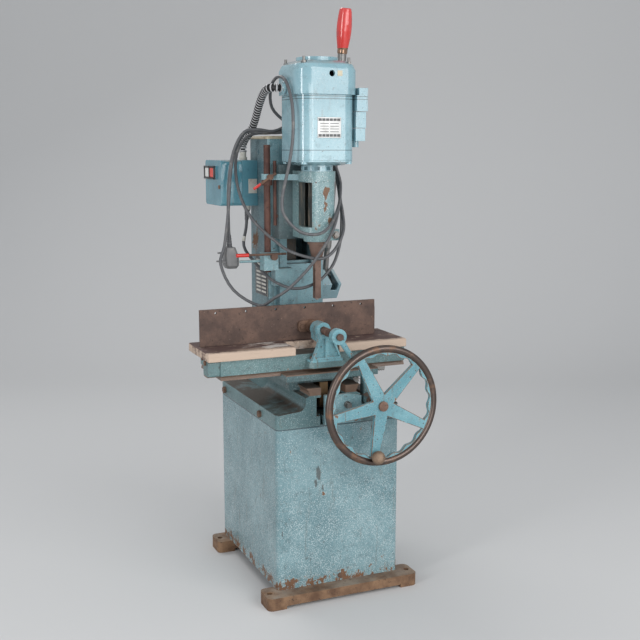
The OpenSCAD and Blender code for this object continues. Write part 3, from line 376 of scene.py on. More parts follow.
class Finish(Board):
    def __init__(self, name):
        self.material = bpy.data.materials.new(name)
        self.material.use_nodes = True
        super().__init__(self.material.node_tree)
        self.shader = self.tree.nodes["Principled BSDF"]
        self.place = self.add("ShaderNodeTexCoord")["Object"]

    def hold(self, name, value):
        """Sets one of the shader's inputs to a constant."""
        self.shader.inputs[name].default_value = value

    def feed(self, name, value):
        """Joins a pattern to one of the shader's inputs."""
        self.tree.links.new(value.socket, self.shader.inputs[name])

    def stretched(self, along):
        return self.add("ShaderNodeMapping", {"Vector": self.place, "Scale": along})[0]

    def noise(self, scale, detail=4.0, rough=0.55, along=(1, 1, 1)):
        return self.add("ShaderNodeTexNoise", {
            "Vector": self.stretched(along), "Scale": scale, "Detail": detail,
            "Roughness": rough})[0]

    def step(self, value, low, high):
        return self.add("ShaderNodeMapRange", {
            "Value": value, "From Min": low, "From Max": high}, interpolation_type="SMOOTHSTEP")[0]

    def mix(self, first, second, factor):
        first, second = (v + (1,) if isinstance(v, tuple) else v for v in (first, second))
        return self.add("ShaderNodeMix", {
            MIX_FACTOR: factor, MIX_FIRST: first, MIX_SECOND: second},
            data_type="RGBA")[MIX_RESULT]

    def at(self, axis):
        """Where a point is along X, Y or Z, in metres."""
        return self.add("ShaderNodeSeparateXYZ", {0: self.place})[axis]

    def facing(self, axis):
        """How far a face looks along X, Y or Z."""
        normal = self.add("ShaderNodeNewGeometry")["Normal"]
        return self.add("ShaderNodeSeparateXYZ", {0: normal})[axis]

    def between(self, axis, low, high, soft):
        """1 from low to high along an axis, fading to 0 within soft beyond them, in mm."""
        value = self.at(axis)
        return (self.step(value, (low - soft) * MM, low * MM)
                * self.step(value, (high + soft) * MM, high * MM))

    def within(self, low, high):
        """1 inside a box given by two corners in mm, and 0 outside."""
        spans = [self.between(axis, low[axis], high[axis], 0.3) for axis in (X, Y, Z)]
        return spans[0] * spans[1] * spans[2]

    def near(self, spot, tall=1.0):
        """1 at a spot (x, y, z, radius) in mm, and 0 beyond its radius, drawn out upright."""
        x, y, z, radius = spot
        centre = (x * MM, y * MM, z * MM / tall)
        away = self.add("ShaderNodeVectorMath", {
            0: self.stretched((1, 1, 1 / tall)), 1: centre}, operation="DISTANCE")["Value"]
        return self.step(away, radius * MM, radius * 0.2 * MM)

    def mark(self, name):
        return self.add("ShaderNodeAttribute", attribute_name=name)["Fac"]

    def finished(self, colour, rough, relief, strength, depth):
        """Feeds the three patterns that every finish has and gives its material."""
        self.feed("Base Color", colour)
        self.feed("Roughness", rough)
        self.feed("Normal", self.add("ShaderNodeBump", {
            "Height": relief, "Strength": strength, "Distance": depth})[0])
        return self.material


print("finish helper ready")

# %% [markdown]
# The old hammer paint is blue green with fine pale specks. It is dirty in long runs,
# rusts through in patches, is worn to brown iron at the edges, and carries wood dust
# on its level faces. Some layers paint light and shade in: faces that look to the front
# painted lighter as if lit, a painted shadow line under a lip, and painted shade inside
# a recess. Each of these is a layer with its own function, and one function paints all
# castings with them; its amounts differ by piece.

# %% Layers of old paint
RUST_DARK, RUST_LIGHT = (0.055, 0.03, 0.02), (0.24, 0.118, 0.056)
DUST, DIRT = (0.34, 0.31, 0.26), (0.072, 0.058, 0.045)
GRIME, RUN_BROWN = (0.07, 0.075, 0.068), (0.12, 0.088, 0.058)
SPECK_PALE, PRIMER = (0.54, 0.63, 0.64), (0.42, 0.5, 0.49)
SLIDE_DARK, SLIDE_LIGHT = (0.085, 0.052, 0.037), (0.215, 0.14, 0.098)
# The seam colour is a dark blue green: dark joints, and painted shadow under a lip.
SEAM_AND_SHADOW_DARK, SCUFF_DARK = (0.03, 0.05, 0.058), (0.062, 0.056, 0.05)
# The darker oil colour is near black: grease, and painted shade inside a recess.
OIL_AND_SHADE_DARK, OIL_LIGHT = (0.022, 0.02, 0.017), (0.21, 0.15, 0.1)


def ground_coat_and_lit_front(paint, tone, light_tone, painted_lit_front):
    colour = paint.mix(tone, light_tone, paint.step(paint.noise(6, 6, 0.6), 0.38, 0.62))
    # Faces that look to the front get a lighter colour: painted light, as if lit from the front.
    if painted_lit_front:
        ahead = paint.step(paint.facing(Y), -0.5, -0.9)
        colour = paint.mix(colour, painted_lit_front, ahead * 0.9)
    shade = tuple(0.55 * v for v in tone)
    return paint.mix(colour, shade, paint.step(paint.noise(48, 5, 0.7), 0.5, 0.72) * 0.55)


def specks_and_dirt(paint, colour, specks, grime, foot):
    """Pale specks, more of them low down on a piece with a foot, and grime on top."""
    fine = paint.noise(440, 2, 0.6) + paint.noise(22, 3) * 0.16
    fine = fine + paint.step(paint.at(Z), 0.36, 0.22) * 0.035 * foot
    colour = paint.mix(colour, SPECK_PALE, paint.step(fine, 0.65, 0.73) * specks)
    dirt = paint.noise(75, 6, 0.75)
    colour = paint.mix(colour, GRIME, paint.step(dirt, 0.56, 0.74) * grime)
    runs = paint.noise(9, 6, 0.6, (7, 7, 0.7))
    return paint.mix(colour, RUN_BROWN, paint.step(runs, 0.58, 0.8) * grime), dirt


def rust_through(paint, colour, rust, foot, spots):
    """Brown iron where paint has flaked off: at edges, spots and near the floor."""
    flakes = paint.noise(30, 8, 0.68) * 0.5 + paint.noise(105, 6, 0.72, (1, 1, 0.6)) * 0.5
    low = paint.step(paint.at(Z), 0.085, 0.04) * foot
    field = flakes + low * 0.14 + paint.mark("edge") * (0.05 + 0.09 * rust)
    for spot in spots:
        field = field + paint.near(spot) * 0.13
    bare_at, rim_wide = 0.684 - 0.092 * rust, 0.022
    through = paint.step(field, bare_at, bare_at + rim_wide)
    rim = paint.step(field, bare_at - rim_wide, bare_at)
    pit_at = 0.695 - 0.05 * rust
    pits = paint.step(paint.noise(190, 3, 0.6), pit_at, pit_at + 0.04)
    iron = paint.mix(RUST_DARK, RUST_LIGHT, paint.noise(120, 5, 0.7))
    colour = paint.mix(paint.mix(colour, PRIMER, rim * 0.35), iron, through)
    return paint.mix(colour, RUST_DARK, pits * 0.85), through, pits


def wear_and_painted_shade(paint, colour, bare, lines, scuffs, oil_and_shade_box):
    if bare:
        slide = paint.mix(SLIDE_DARK, SLIDE_LIGHT, paint.noise(26, 6, 0.6, (1, 1, 4)))
        colour = paint.mix(colour, slide, paint.between(Z, *bare, 0.4))
    # Dark lines at these heights: seams, and a painted shadow under a lip.
    for line in lines:
        seam_and_shadow_line = paint.between(Z, line - 0.5, line + 0.5, 0.8)
        colour = paint.mix(colour, SEAM_AND_SHADOW_DARK, seam_and_shadow_line * 0.8)
    for scuff in scuffs:
        smear = paint.noise(70, 6, 0.7, (1, 1, 0.25)) + paint.near(scuff, 2.4) * 0.2
        colour = paint.mix(colour, SCUFF_DARK, paint.step(smear, 0.64, 0.75) * 0.75)
    # Inside the box the colour turns near black with an oil-brown film: grease in the head's
    # window, and painted shade of the recess.
    if oil_and_shade_box:
        film = paint.step(paint.noise(42, 7, 0.7, (1, 1, 0.4)), 0.46, 0.7)
        oil_and_shade = paint.mix(OIL_AND_SHADE_DARK, OIL_LIGHT, film)
        colour = paint.mix(colour, oil_and_shade, paint.within(*oil_and_shade_box) * 0.92)
    return colour


def hammer_paint(name, tone, light_tone, rust, grime, specks, dust, foot=0.0, dust_tone=DUST,
                 spots=(), bare=None, lines=(), gloss=0.0, scuffs=(), oil_and_shade_box=None,
                 painted_lit_front=None):
    """Old paint, with some light and shade painted in. The amounts go from 0 to 1, and foot
    is rust near the floor. Spots are rust patches and scuffs dark upright smears (x, y, z,
    radius) in mm, bare is a band of heights without paint, lines are the heights of dark
    seams and of a painted shadow under a lip, gloss is how much smoother it is, the box is
    painted near black and oil brown inside, grease and painted shade of a recess, and the
    front colour is painted on faces that look to the front, lighter as if lit."""
    paint = Finish(name)
    colour = ground_coat_and_lit_front(paint, tone, light_tone, painted_lit_front)
    colour, dirt = specks_and_dirt(paint, colour, specks, grime, foot)
    colour, through, pits = rust_through(paint, colour, rust, foot, spots)
    colour = wear_and_painted_shade(paint, colour, bare, lines, scuffs, oil_and_shade_box)
    settled = (paint.step(paint.facing(Z), 0.45, 0.8)
               * paint.step(paint.noise(18, 6), 0.28, 0.56) * dust)
    paint.hold("Coat Weight", min(0.7, 2.5 * gloss))
    paint.hold("Coat Roughness", 0.08)
    rough = 0.34 - gloss + 0.34 * through + 0.38 * settled + 0.16 * paint.step(dirt, 0.5, 0.8)
    skin = paint.noise(260, 3) * 0.5 + paint.noise(34, 4)
    return paint.finished(paint.mix(colour, dust_tone, settled), rough,
                          skin - 1.1 * through - 0.8 * pits, 0.42 - gloss, 0.0014)


print("paint layers ready")

# %% [markdown]
# Each casting gets its own mix of wear. The heights of seams and sliding bands, and the
# spots where the paint is off or smeared, are read from the picture.

# %% Paints
# Just under the skirt's lip the cabinet gets dark lines: the joint, and a painted shadow of the
# lip.
SKIRT_LIP_SHADOW = (443, 441.4)
MOTOR_SEAMS = (1234.5, 1241, 1112)
TABLE_BAND, SADDLE_BAND, WAYS_BAND = (560, 581.6), (574.5, 580), (521, 541)
SADDLE_DIRT = (0.13, 0.085, 0.06)
# A box inside the head's window that is painted dark: grease, and painted shade of the recess.
HEAD_OIL_AND_SHADE = ((-39.4, -88, 922.5), (12, -0.5, 1032.5))
HEAD_SPOTS = [(8, -92, 1014, 17), (6, -92, 1000, 14), (5, -92, 982, 14),
              (4, -92, 966, 12), (22, -92, 934, 26), (-14, -92, 924, 20)]
COLUMN_SPOTS = [(-80, 174, 898, 62), (-80, 184, 862, 44)]
CABINET_SPOTS = [(-44, -195, 268, 9), (20, -195, 255, 14), (90, -195, 250, 12)]
CABINET_SCUFFS = [(-57, -195, 322, 13), (-64, -195, 300, 8), (-44, -195, 284, 9)]

PAINT_BODY = hammer_paint(
    "paint_machine", (0.12, 0.235, 0.265), (0.2, 0.345, 0.375),
    rust=0.7, grime=0.9, specks=0.45, dust=0.5)
PAINT_SLIDE = hammer_paint(
    "paint_greasy_slide", (0.04, 0.07, 0.076), (0.085, 0.13, 0.138),
    rust=0.8, grime=1, specks=0.15, dust=0.5)
# Faces of the column that look to the front are painted lighter than its sides, as if lit.
PAINT_COLUMN = hammer_paint(
    "paint_column", (0.066, 0.125, 0.148), (0.105, 0.178, 0.2),
    rust=0.66, grime=0.8, specks=0.45, dust=0.5, painted_lit_front=(0.19, 0.345, 0.385),
    spots=COLUMN_SPOTS)
PAINT_HEAD = hammer_paint(
    "paint_head", (0.112, 0.205, 0.218), (0.18, 0.29, 0.298),
    rust=0.78, grime=1, specks=0.8, dust=0.5, gloss=0.05, oil_and_shade_box=HEAD_OIL_AND_SHADE, spots=HEAD_SPOTS)
PAINT_CABINET = hammer_paint(
    "paint_cabinet", (0.12, 0.215, 0.24), (0.18, 0.295, 0.322),
    rust=0.58, grime=0.66, specks=0.66, dust=0.2, foot=1, lines=SKIRT_LIP_SHADOW,
    spots=CABINET_SPOTS, scuffs=CABINET_SCUFFS, gloss=0.08)
PAINT_MOTOR = hammer_paint(
    "paint_motor", (0.2, 0.355, 0.405), (0.28, 0.45, 0.5),
    rust=0.48, grime=0.5, specks=0.25, dust=0.35, lines=MOTOR_SEAMS, gloss=0.22)
PAINT_WHEEL = hammer_paint(
    "paint_wheel", (0.105, 0.26, 0.305), (0.19, 0.385, 0.43),
    rust=1.05, grime=0.95, specks=0.25, dust=0.3, gloss=0.1)
PAINT_TABLE = hammer_paint(
    "paint_table", (0.07, 0.138, 0.146), (0.118, 0.205, 0.208),
    rust=0.8, grime=0.9, specks=0.3, dust=0.9, dust_tone=DIRT, bare=TABLE_BAND)
PAINT_SADDLE = hammer_paint(
    "paint_saddle", (0.045, 0.088, 0.096), (0.088, 0.158, 0.166),
    rust=0.85, grime=0.95, specks=0.3, dust=0.9, dust_tone=SADDLE_DIRT, bare=SADDLE_BAND)
PAINT_TOP = hammer_paint(
    "paint_top_casting", (0.069, 0.134, 0.144), (0.12, 0.208, 0.216),
    rust=0.66, grime=0.95, specks=0.35, dust=1, dust_tone=DIRT, bare=WAYS_BAND)
PAINT_SWITCH = hammer_paint(
    "paint_switch_box", (0.07, 0.225, 0.285), (0.125, 0.32, 0.385),
    rust=0.3, grime=0.45, specks=0.1, dust=0.6, gloss=0.22)
PAINT_DARK = hammer_paint(
    "paint_dark", (0.075, 0.23, 0.29), (0.125, 0.31, 0.375),
    rust=0.15, grime=0.3, specks=0, dust=0.5)
print("last paint:", PAINT_DARK.name)

# %% [markdown]
# Bare iron has a brown skin of rust with darker and lighter clouds. Where hands or
# sliding parts rub, the metal shines through. Steel is smoother, with fine lines along
# its grain and stains of rust.

# %% Iron and steel
RUST_CLOUD, RUBBED_METAL = (0.25, 0.13, 0.07), (0.36, 0.33, 0.3)
IRON_SPECK, IRON_PIT = (0.42, 0.37, 0.31), (0.03, 0.018, 0.014)
GRIP_PAINT, COLOUR_EDGE = (0.56, 0.03, 0.022), 0.0006


def rusty_iron(name, dark, light, shine=0.2, dust=0.0, red_below=None):
    """Iron; where red_below is given, its left end up to that X in metres is a red grip."""
    iron = Finish(name)
    clouds = iron.noise(22, 8, 0.65)
    colour = iron.mix(dark, light, iron.step(clouds, 0.34, 0.68))
    colour = iron.mix(colour, RUST_CLOUD, iron.step(iron.noise(95, 6, 0.7), 0.58, 0.8) * 0.6)
    rubbed = iron.step(iron.noise(12, 5) + iron.mark("edge") * 0.12, 0.66, 0.74) * shine
    colour = iron.mix(colour, RUBBED_METAL, rubbed)
    settled = iron.step(iron.facing(Z), 0.7, 0.98) * iron.step(iron.noise(15, 5), 0.35, 0.7)
    colour = iron.mix(colour, DUST, settled * dust)
    specks = iron.step(iron.noise(190, 4, 0.7), 0.66, 0.74)
    colour = iron.mix(colour, IRON_SPECK, specks * 0.5)
    pits = iron.step(iron.noise(130, 4, 0.7), 0.4, 0.33)
    colour = iron.mix(colour, IRON_PIT, pits * 0.7)
    metal = 0.25 + 0.6 * rubbed
    rough = 0.66 - 0.3 * rubbed
    if red_below is not None:
        grip = iron.step(iron.at(X), red_below + COLOUR_EDGE, red_below)
        colour = iron.mix(colour, GRIP_PAINT, grip)
        metal = metal * (1 - grip)
        rough = rough - 0.3 * grip
    iron.feed("Metallic", metal)
    return iron.finished(colour, rough, iron.noise(230, 4) + clouds, 0.3, 0.0008)


def bare_steel(name, tone, stain, roughness=0.34, grain=(1, 1, 1)):
    steel = Finish(name)
    lines = steel.noise(420, 3, 0.6, grain)
    stains = steel.step(steel.noise(30, 7, 0.65), 0.5, 0.72) * stain
    colour = steel.mix(tone, tuple(0.72 * v for v in tone), lines)
    steel.feed("Metallic", 0.92 - 0.7 * stains)
    return steel.finished(steel.mix(colour, RUST_LIGHT, stains),
                          roughness + 0.16 * lines + 0.3 * stains, lines, 0.12, 0.0004)


FOOT_IRON = rusty_iron("iron_foot_bars", (0.12, 0.062, 0.034), (0.27, 0.16, 0.09), 0.1, 0.6)
PLATE_IRON = rusty_iron("iron_clamp_plate", (0.076, 0.047, 0.038), (0.146, 0.088, 0.066), 0.25)
BOLT_IRON = rusty_iron("iron_bolts", (0.1, 0.056, 0.038), (0.22, 0.13, 0.085), 0.4)
CHISEL_IRON = rusty_iron("iron_chisel", (0.095, 0.056, 0.044), (0.19, 0.12, 0.092), 0.25)
ROD_IRON = rusty_iron("iron_stop_rods", (0.062, 0.027, 0.021), (0.135, 0.062, 0.046), 0.35)
SHAFT_IRON = rusty_iron("iron_wheel_shaft", (0.11, 0.062, 0.044), (0.23, 0.14, 0.1), 0.3)
KNOB_IRON = rusty_iron("iron_knob", (0.14, 0.09, 0.06), (0.29, 0.205, 0.14), 0.8)
LATCH_IRON = rusty_iron(
    "iron_latch_red_grip", (0.09, 0.052, 0.038), (0.19, 0.115, 0.08), 0.3, red_below=-0.1578)
COLLAR_IRON = rusty_iron(
    "iron_collar_red_end", (0.11, 0.06, 0.042), (0.23, 0.13, 0.085), 0.3, red_below=-0.1265)
RIM_STEEL = bare_steel("steel_rim", (0.135, 0.105, 0.092), 0.6, 0.24)
LEVER_STEEL = bare_steel("steel_lever", (0.3, 0.295, 0.285), 0.35, 0.32, (1, 1, 0.1))
SHAFT_STEEL = bare_steel("steel_shafts", (0.33, 0.32, 0.305), 0.45, 0.36, (1, 0.1, 1))
GREASY_STEEL = bare_steel("steel_greasy", (0.07, 0.066, 0.06), 0.6, 0.42)
NUT_STEEL = bare_steel("steel_nuts", (0.27, 0.262, 0.248), 0.55, 0.4)
RACK_STEEL = bare_steel("steel_rack", (0.42, 0.41, 0.39), 0.35, 0.34)
BRONZE = bare_steel("bronze", (0.2, 0.13, 0.07), 0.7, 0.42)
WINDING = bare_steel("laminations", (0.15, 0.15, 0.155), 0.3, 0.5, (1, 1, 9))
print("last metal:", WINDING.name)

# %% [markdown]
# The boards are soft wood planks, dark with old stain on the face and worn pale along
# the front edge. The grain runs along X, so the noise is squeezed across the plank.
# Rubber is dusty in clouds, and plastic has a clear coat with dirt on it.

# %% Wood, rubber and plastic
WOOD_LIGHT, WOOD_DARK = (0.38, 0.275, 0.205), (0.19, 0.118, 0.088)
STAIN, CHALK, CHALK_SPOT = (0.08, 0.042, 0.038), (0.64, 0.59, 0.54), (-120, -105, 641, 150)
WORN_WOOD, FIBRE_DARK = (0.52, 0.4, 0.31), (0.15, 0.09, 0.065)
RUBBER_DUST = (0.3, 0.28, 0.25)
FERRULE_DARK, FERRULE_LIGHT = (0.16, 0.07, 0.04), (0.42, 0.27, 0.17)


def stained_wood(name):
    wood = Finish(name)
    rings = wood.noise(30, 6, 0.6, (0.3, 6, 6))
    fibre = wood.noise(250, 4, 0.7, (0.05, 1, 1))
    colour = wood.mix(WOOD_LIGHT, WOOD_DARK, wood.step(rings, 0.35, 0.66))
    stain = wood.step(wood.noise(9, 7, 0.68, (0.6, 1.6, 1)), 0.36, 0.52)
    colour = wood.mix(colour, STAIN, stain * 0.92)
    chalk = wood.noise(16, 8, 0.72, (0.7, 1.8, 1)) + wood.near(CHALK_SPOT) * 0.16
    colour = wood.mix(colour, CHALK, wood.step(chalk, 0.6, 0.72) * 0.9)
    front = wood.step(wood.at(Y) + wood.noise(26, 7, 0.7) * 0.034, -0.146, -0.16)
    worn = wood.step(wood.noise(38, 6, 0.7) + wood.mark("edge") * 0.2 + front * 0.3,
                     0.56, 0.74)
    colour = wood.mix(colour, WORN_WOOD, worn * 0.9)
    colour = wood.mix(colour, FIBRE_DARK, wood.step(fibre, 0.58, 0.75) * 0.55)
    return wood.finished(colour, 0.6 + 0.2 * fibre,
                         fibre * 0.8 + rings * 0.5 + stain * 0.3, 0.55, 0.0014)


def rubber(name, tone, dusty, roughness):
    skin = Finish(name)
    marks = skin.step(skin.noise(60, 6, 0.7), 0.5, 0.78) * dusty
    return skin.finished(skin.mix(tone, RUBBER_DUST, marks), roughness + 0.25 * marks,
                         skin.noise(500, 3), 0.12, 0.0004)


def plastic(name, tone, dirt_tone, dirt=0.5, roughness=0.25, coat=0.4, ferrule=None):
    """Moulded plastic; a ferrule is brown metal below that height in metres."""
    skin = Finish(name)
    skin.hold("Coat Weight", coat)
    marks = skin.step(skin.noise(45, 7, 0.7), 0.5, 0.74) * dirt
    colour = skin.mix(tone, dirt_tone, marks)
    if ferrule:
        ring = skin.step(skin.at(Z), ferrule, ferrule - COLOUR_EDGE)
        brown = skin.mix(FERRULE_DARK, FERRULE_LIGHT, skin.noise(60, 5))
        colour = skin.mix(colour, brown, ring)
        skin.feed("Metallic", ring * 0.8)
    return skin.finished(colour, roughness + 0.4 * marks, skin.noise(180, 3), 0.06, 0.0005)


WOOD = stained_wood("stained_boards")
LEAD_RUBBER = rubber("rubber_lead", (0.085, 0.087, 0.092), 0.55, 0.42)
# The hose's crests are lighter than the rubber's own grey, partly a painted sheen; the core colour
# is near black, painted shade for the gaps between rings.
HOSE_RUBBER_AND_SHEEN = rubber("rubber_hose", (0.48, 0.482, 0.49), 0.35, 0.28)
HOSE_CORE_SHADE = rubber("rubber_hose_core", (0.018, 0.018, 0.019), 0.2, 0.6)
PLUG_RUBBER = rubber("rubber_plug", (0.17, 0.17, 0.172), 0.6, 0.45)
GRIP_RED = plastic(
    "red_grip", (0.6, 0.04, 0.034), (0.33, 0.03, 0.024), 0.85, 0.2, 0.8, ferrule=1.374)
BEZEL_BLACK = plastic("black_bezel", (0.02, 0.02, 0.021), (0.11, 0.105, 0.095), 0.5, 0.35, 0.2)
PLATE_WHITE = plastic("pale_plate", (0.7, 0.7, 0.68), (0.33, 0.31, 0.27), 0.5, 0.3, 0.3)
PLATE_DARK = plastic("dark_plate", (0.04, 0.042, 0.045), (0.15, 0.13, 0.105), 0.6, 0.35, 0.2)
PLATE_BEIGE = plastic("beige_patch", (0.56, 0.5, 0.37), (0.33, 0.29, 0.22), 0.6, 0.6, 0.0)
BUTTON_RED = plastic("red_button", (0.7, 0.045, 0.02), (0.3, 0.08, 0.05), 0.4)
BUTTON_WHITE = plastic("white_button", (0.72, 0.715, 0.68), (0.36, 0.33, 0.27), 0.5)
CREAM = plastic("cream_cap", (0.52, 0.45, 0.32), (0.18, 0.11, 0.07), 0.9, 0.5, 0.0)
PALE_TRIM = plastic("pale_trim", (0.56, 0.545, 0.49), (0.22, 0.18, 0.13), 0.7, 0.4, 0.0)


def coat(piece, material):
    piece.data.materials.clear()
    piece.data.materials.append(material)


def finish_new(piece, body, material, nodes=()):
    """Coats a new piece, fixes it to a body and hides the parts that it stands for."""
    coat(piece, material)
    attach(piece, body)
    if nodes:
        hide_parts(*nodes)
    return piece


for piece in (lead, plug_sleeve, box_sleeve):
    coat(piece, LEAD_RUBBER)
coat(lead_tape, PALE_TRIM)
print("lead finished:", lead.data.materials[0].name)

# %% [markdown]
# The armoured hose from the motor to the switch box is a row of rubber rings. A
# Geometry Nodes tree turns the route into a curve, sweeps the core, and sets a ring at
# every pitch along it, turned to follow the curve. The core and the flanks of a ring are
# near black, painted shade in the deep gaps between rings, and the crests are lighter
# than the rubber's own grey, partly a painted sheen.

# %% Ribbed hose
HOSE_R = 10.5 * MM
HOSE_SIZES = {"Core": 6.2 * MM, "Ring": HOSE_R, "Bead": 3.0 * MM, "Pitch": 10.5 * MM}
HOSE_ROUTE = [(-95, -48, 1262), (-110, -48, 1262), (-119, -30, 1261), (-118, 10, 1250),
              (-112, 60, 1222), (-104, 110, 1190), (-100, 160, 1158), (-100, 202, 1140),
              (-100, 221, 1124), (-100, 221, 1108.4)]
SHADED_FLANK_FROM = 0.45


def hose_ring(board, given):
    hoop = circle(board, 20, given["Ring"] - given["Bead"])
    ring = swept(board, hoop, circle(board, 10, given["Bead"]), caps=False)
    place = board.add("GeometryNodeInputPosition")[0]
    # The flanks of the bead get the near-black core colour: painted shade in the gaps between
    # rings.
    aside = board.calc("ABSOLUTE", board.add("ShaderNodeSeparateXYZ", {0: place})[Z])
    shaded_flank = board.calc("GREATER_THAN", aside, given["Bead"] * SHADED_FLANK_FROM)
    return coated(board, coated(board, ring, HOSE_RUBBER_AND_SHEEN), HOSE_CORE_SHADE, Selection=shaded_flank)


def hose_tree():
    board, given = new_growth("ribbed_hose", HOSE_SIZES)
    curve = board.add("GeometryNodeMeshToCurve", {0: given["Geometry"]})[0]
    core = swept(board, curve, circle(board, 20, given["Core"]))
    stops = board.add("GeometryNodeResampleCurve", {0: curve, "Length": given["Pitch"]},
                      mode="LENGTH")[0]
    points = board.add("GeometryNodeCurveToPoints", {0: stops}, mode="EVALUATED")
    rings = board.add("GeometryNodeInstanceOnPoints", {
        0: points[0], "Instance": hose_ring(board, given), "Rotation": points["Rotation"]})[0]
    both = board.add("GeometryNodeJoinGeometry")
    for part in (coated(board, core, HOSE_CORE_SHADE), rings):
        board.tree.links.new(part.socket, both.node.inputs[0])
    end_growth(board, both[0])
    return board


hose_line = smooth_line(HOSE_ROUTE, 8)
hose = grown("hose", hose_tree(), line=hose_line)
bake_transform(hose)
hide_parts("conduit")
print("hose:", round(line_length(hose_line), 3), "m,", len(hose.data.polygons), "faces")

# %% [markdown]
# Cast and pressed parts have no sharp corners. Each painted part is copied, its loose
# triangles are merged into flat faces, and every edge gets a narrow round. The round's
# faces are marked "edge", which the paint reads as the place that wears first.

# %% Rounded edges
SAME_POINT = 2e-6
SAME_PLANE, ROUND_ABOVE, STAYS_SHARP = (math.radians(v) for v in (0.8, 32, 40))

record = frame["record"]
body_of_node = {n: body for body, nodes in record["behaviour"]["bodies"].items() for n in nodes}


def round_edges(form, edges, width):
    """Rounds edges by width in mm and returns the faces of the rounds."""
    return bmesh.ops.bevel(form, geom=edges, offset=width * MM, segments=2, profile=0.5,
                           affect="EDGES", clamp_overlap=True)["faces"]


def shade(mesh):
    mesh.shade_smooth()
    mesh.set_sharp_from_angle(angle=STAYS_SHARP)


def even_normals(piece):
    """Large faces look flat, and only the rounds between them turn the light."""
    modifier = piece.modifiers.new("even", "WEIGHTED_NORMAL")
    modifier.weight = 100
    modifier.keep_sharp = True
    piece.data = applied(piece, modifier)


def rounded(node, width, material):
    """A copy of a measured part with edges rounded by width in mm; it stands for the part."""
    piece = put("finished_" + node, frame["nodes"][node].data.copy())
    form = bmesh.new()
    form.from_mesh(piece.data)
    bmesh.ops.remove_doubles(form, verts=form.verts, dist=SAME_POINT)
    bmesh.ops.dissolve_limit(form, angle_limit=SAME_PLANE, verts=form.verts, edges=form.edges)
    wear = form.faces.layers.float.new("edge")
    sharp = [edge for edge in form.edges if len(edge.link_faces) == 2
             and edge.calc_face_angle(0) > ROUND_ABOVE]
    for face in round_edges(form, sharp, width):
        face[wear] = 1.0
    form.to_mesh(piece.data)
    form.free()
    shade(piece.data)
    even_normals(piece)
    return finish_new(piece, body_of_node[node], material, [node])


ROUNDED = (
    (1.5, PAINT_CABINET, "cabinet"), (2, PAINT_TOP, "top_casting"),
    (2.5, FOOT_IRON, "foot_bars"), (1.2, PAINT_BODY, "screw_bracket"),
    (2, PAINT_COLUMN, "column"), (2, PAINT_BODY, "gear_cover"),
    (1.5, PAINT_BODY, "stop_block stop_arm"), (1.2, CREAM, "column_cap"),
    (2, PAINT_SADDLE, "saddle"), (1.5, PAINT_TABLE, "table_casting"),
    (3, PAINT_TABLE, "end_cap"), (1.6, PAINT_WHEEL, "clamp_bracket"),
    (0.8, PLATE_IRON, "clamp_plate"), (1.2, PLATE_IRON, "rear_fence"),
    (2, PAINT_SLIDE, "head_slide"), (2.5, PAINT_HEAD, "head_casting"),
    (1.5, PAINT_MOTOR, "lever_housing motor_flange motor_body motor_cowl"),
    (2, PAINT_MOTOR, "motor_boxes"), (1.5, PAINT_DARK, "box_base"),
    (3, PAINT_SWITCH, "box_cover"), (1.5, PAINT_WHEEL, "wheel_disc"),
    (0.6, BOLT_IRON, "base_bolts"), (0.5, BOLT_IRON, "table_bolts"),
    (0.5, NUT_STEEL, "head_bolts"), (0.4, CHISEL_IRON, "hollow_chisel"),
    (0.8, CHISEL_IRON, "chisel_bush"), (0.8, BOLT_IRON, "clamp_swivel"),
    (1.5, PLUG_RUBBER, "plug"), (0.3, PALE_TRIM, "trim"),
    (1.5, BUTTON_WHITE, "button_white"), (1.5, BUTTON_RED, "button_red"))
for width, material, nodes in ROUNDED:
    for node in nodes.split():
        rounded(node, width, material)
print("rows of rounded parts:", len(ROUNDED))

# %% [markdown]
# Threads are a ridge wound round a core. A spiral curve with a three-sided profile
# makes the ridge; a turned core carries it. The outside keeps the measured radius.

# %% Threaded screws
THREAD_SIZES = {"Turns": 20.0, "Length": 0.1, "Radius": 0.009, "Ridge": 0.0016}
PITCH = 5


def thread_tree(material):
    board, given = new_growth("thread", THREAD_SIZES)
    spiral = board.add("GeometryNodeCurveSpiral", {
        "Resolution": 20, "Rotations": given["Turns"], "Height": given["Length"],
        "Start Radius": given["Radius"], "End Radius": given["Radius"]})[0]
    ridge = swept(board, spiral, circle(board, 3, given["Ridge"]))
    end_growth(board, coated(board, ridge, material))
    return board


def wound_thread(name, start, length, radius, ridge, material):
    """A thread ridge in mm that starts at a point and runs along +Y."""
    sizes = {"Turns": length / PITCH, "Length": length * MM, "Radius": radius * MM,
             "Ridge": ridge * MM}
    piece = grown(name, thread_tree(material), sizes)
    piece.data.transform(Matrix.Translation(Vector(start) * MM)
                         @ Matrix.Rotation(math.radians(-90), 4, "X"))
    return piece


CLAMP_X, CLAMP_Z = -31, 675
CLAMP_OUTLINE = [(0, 7.6), (0.8, 8.6), (7, 8.6), (8, 8), (27, 8), (27.5, 8.7), (164.5, 8.7),
                 (165.2, 8), (179, 8)]
clamp_core = lathe("clamp_screw_core", CLAMP_OUTLINE, (CLAMP_X, -269, CLAMP_Z), (0, 1, 0))
clamp_thread = wound_thread("clamp_thread", (CLAMP_X, -240, CLAMP_Z), 134, 8.6, 1.6, PLATE_IRON)
finish_new(clamp_core, "clamp_screw", PLATE_IRON, ["clamp_screw"])
finish_new(clamp_thread, "clamp_screw", PLATE_IRON)

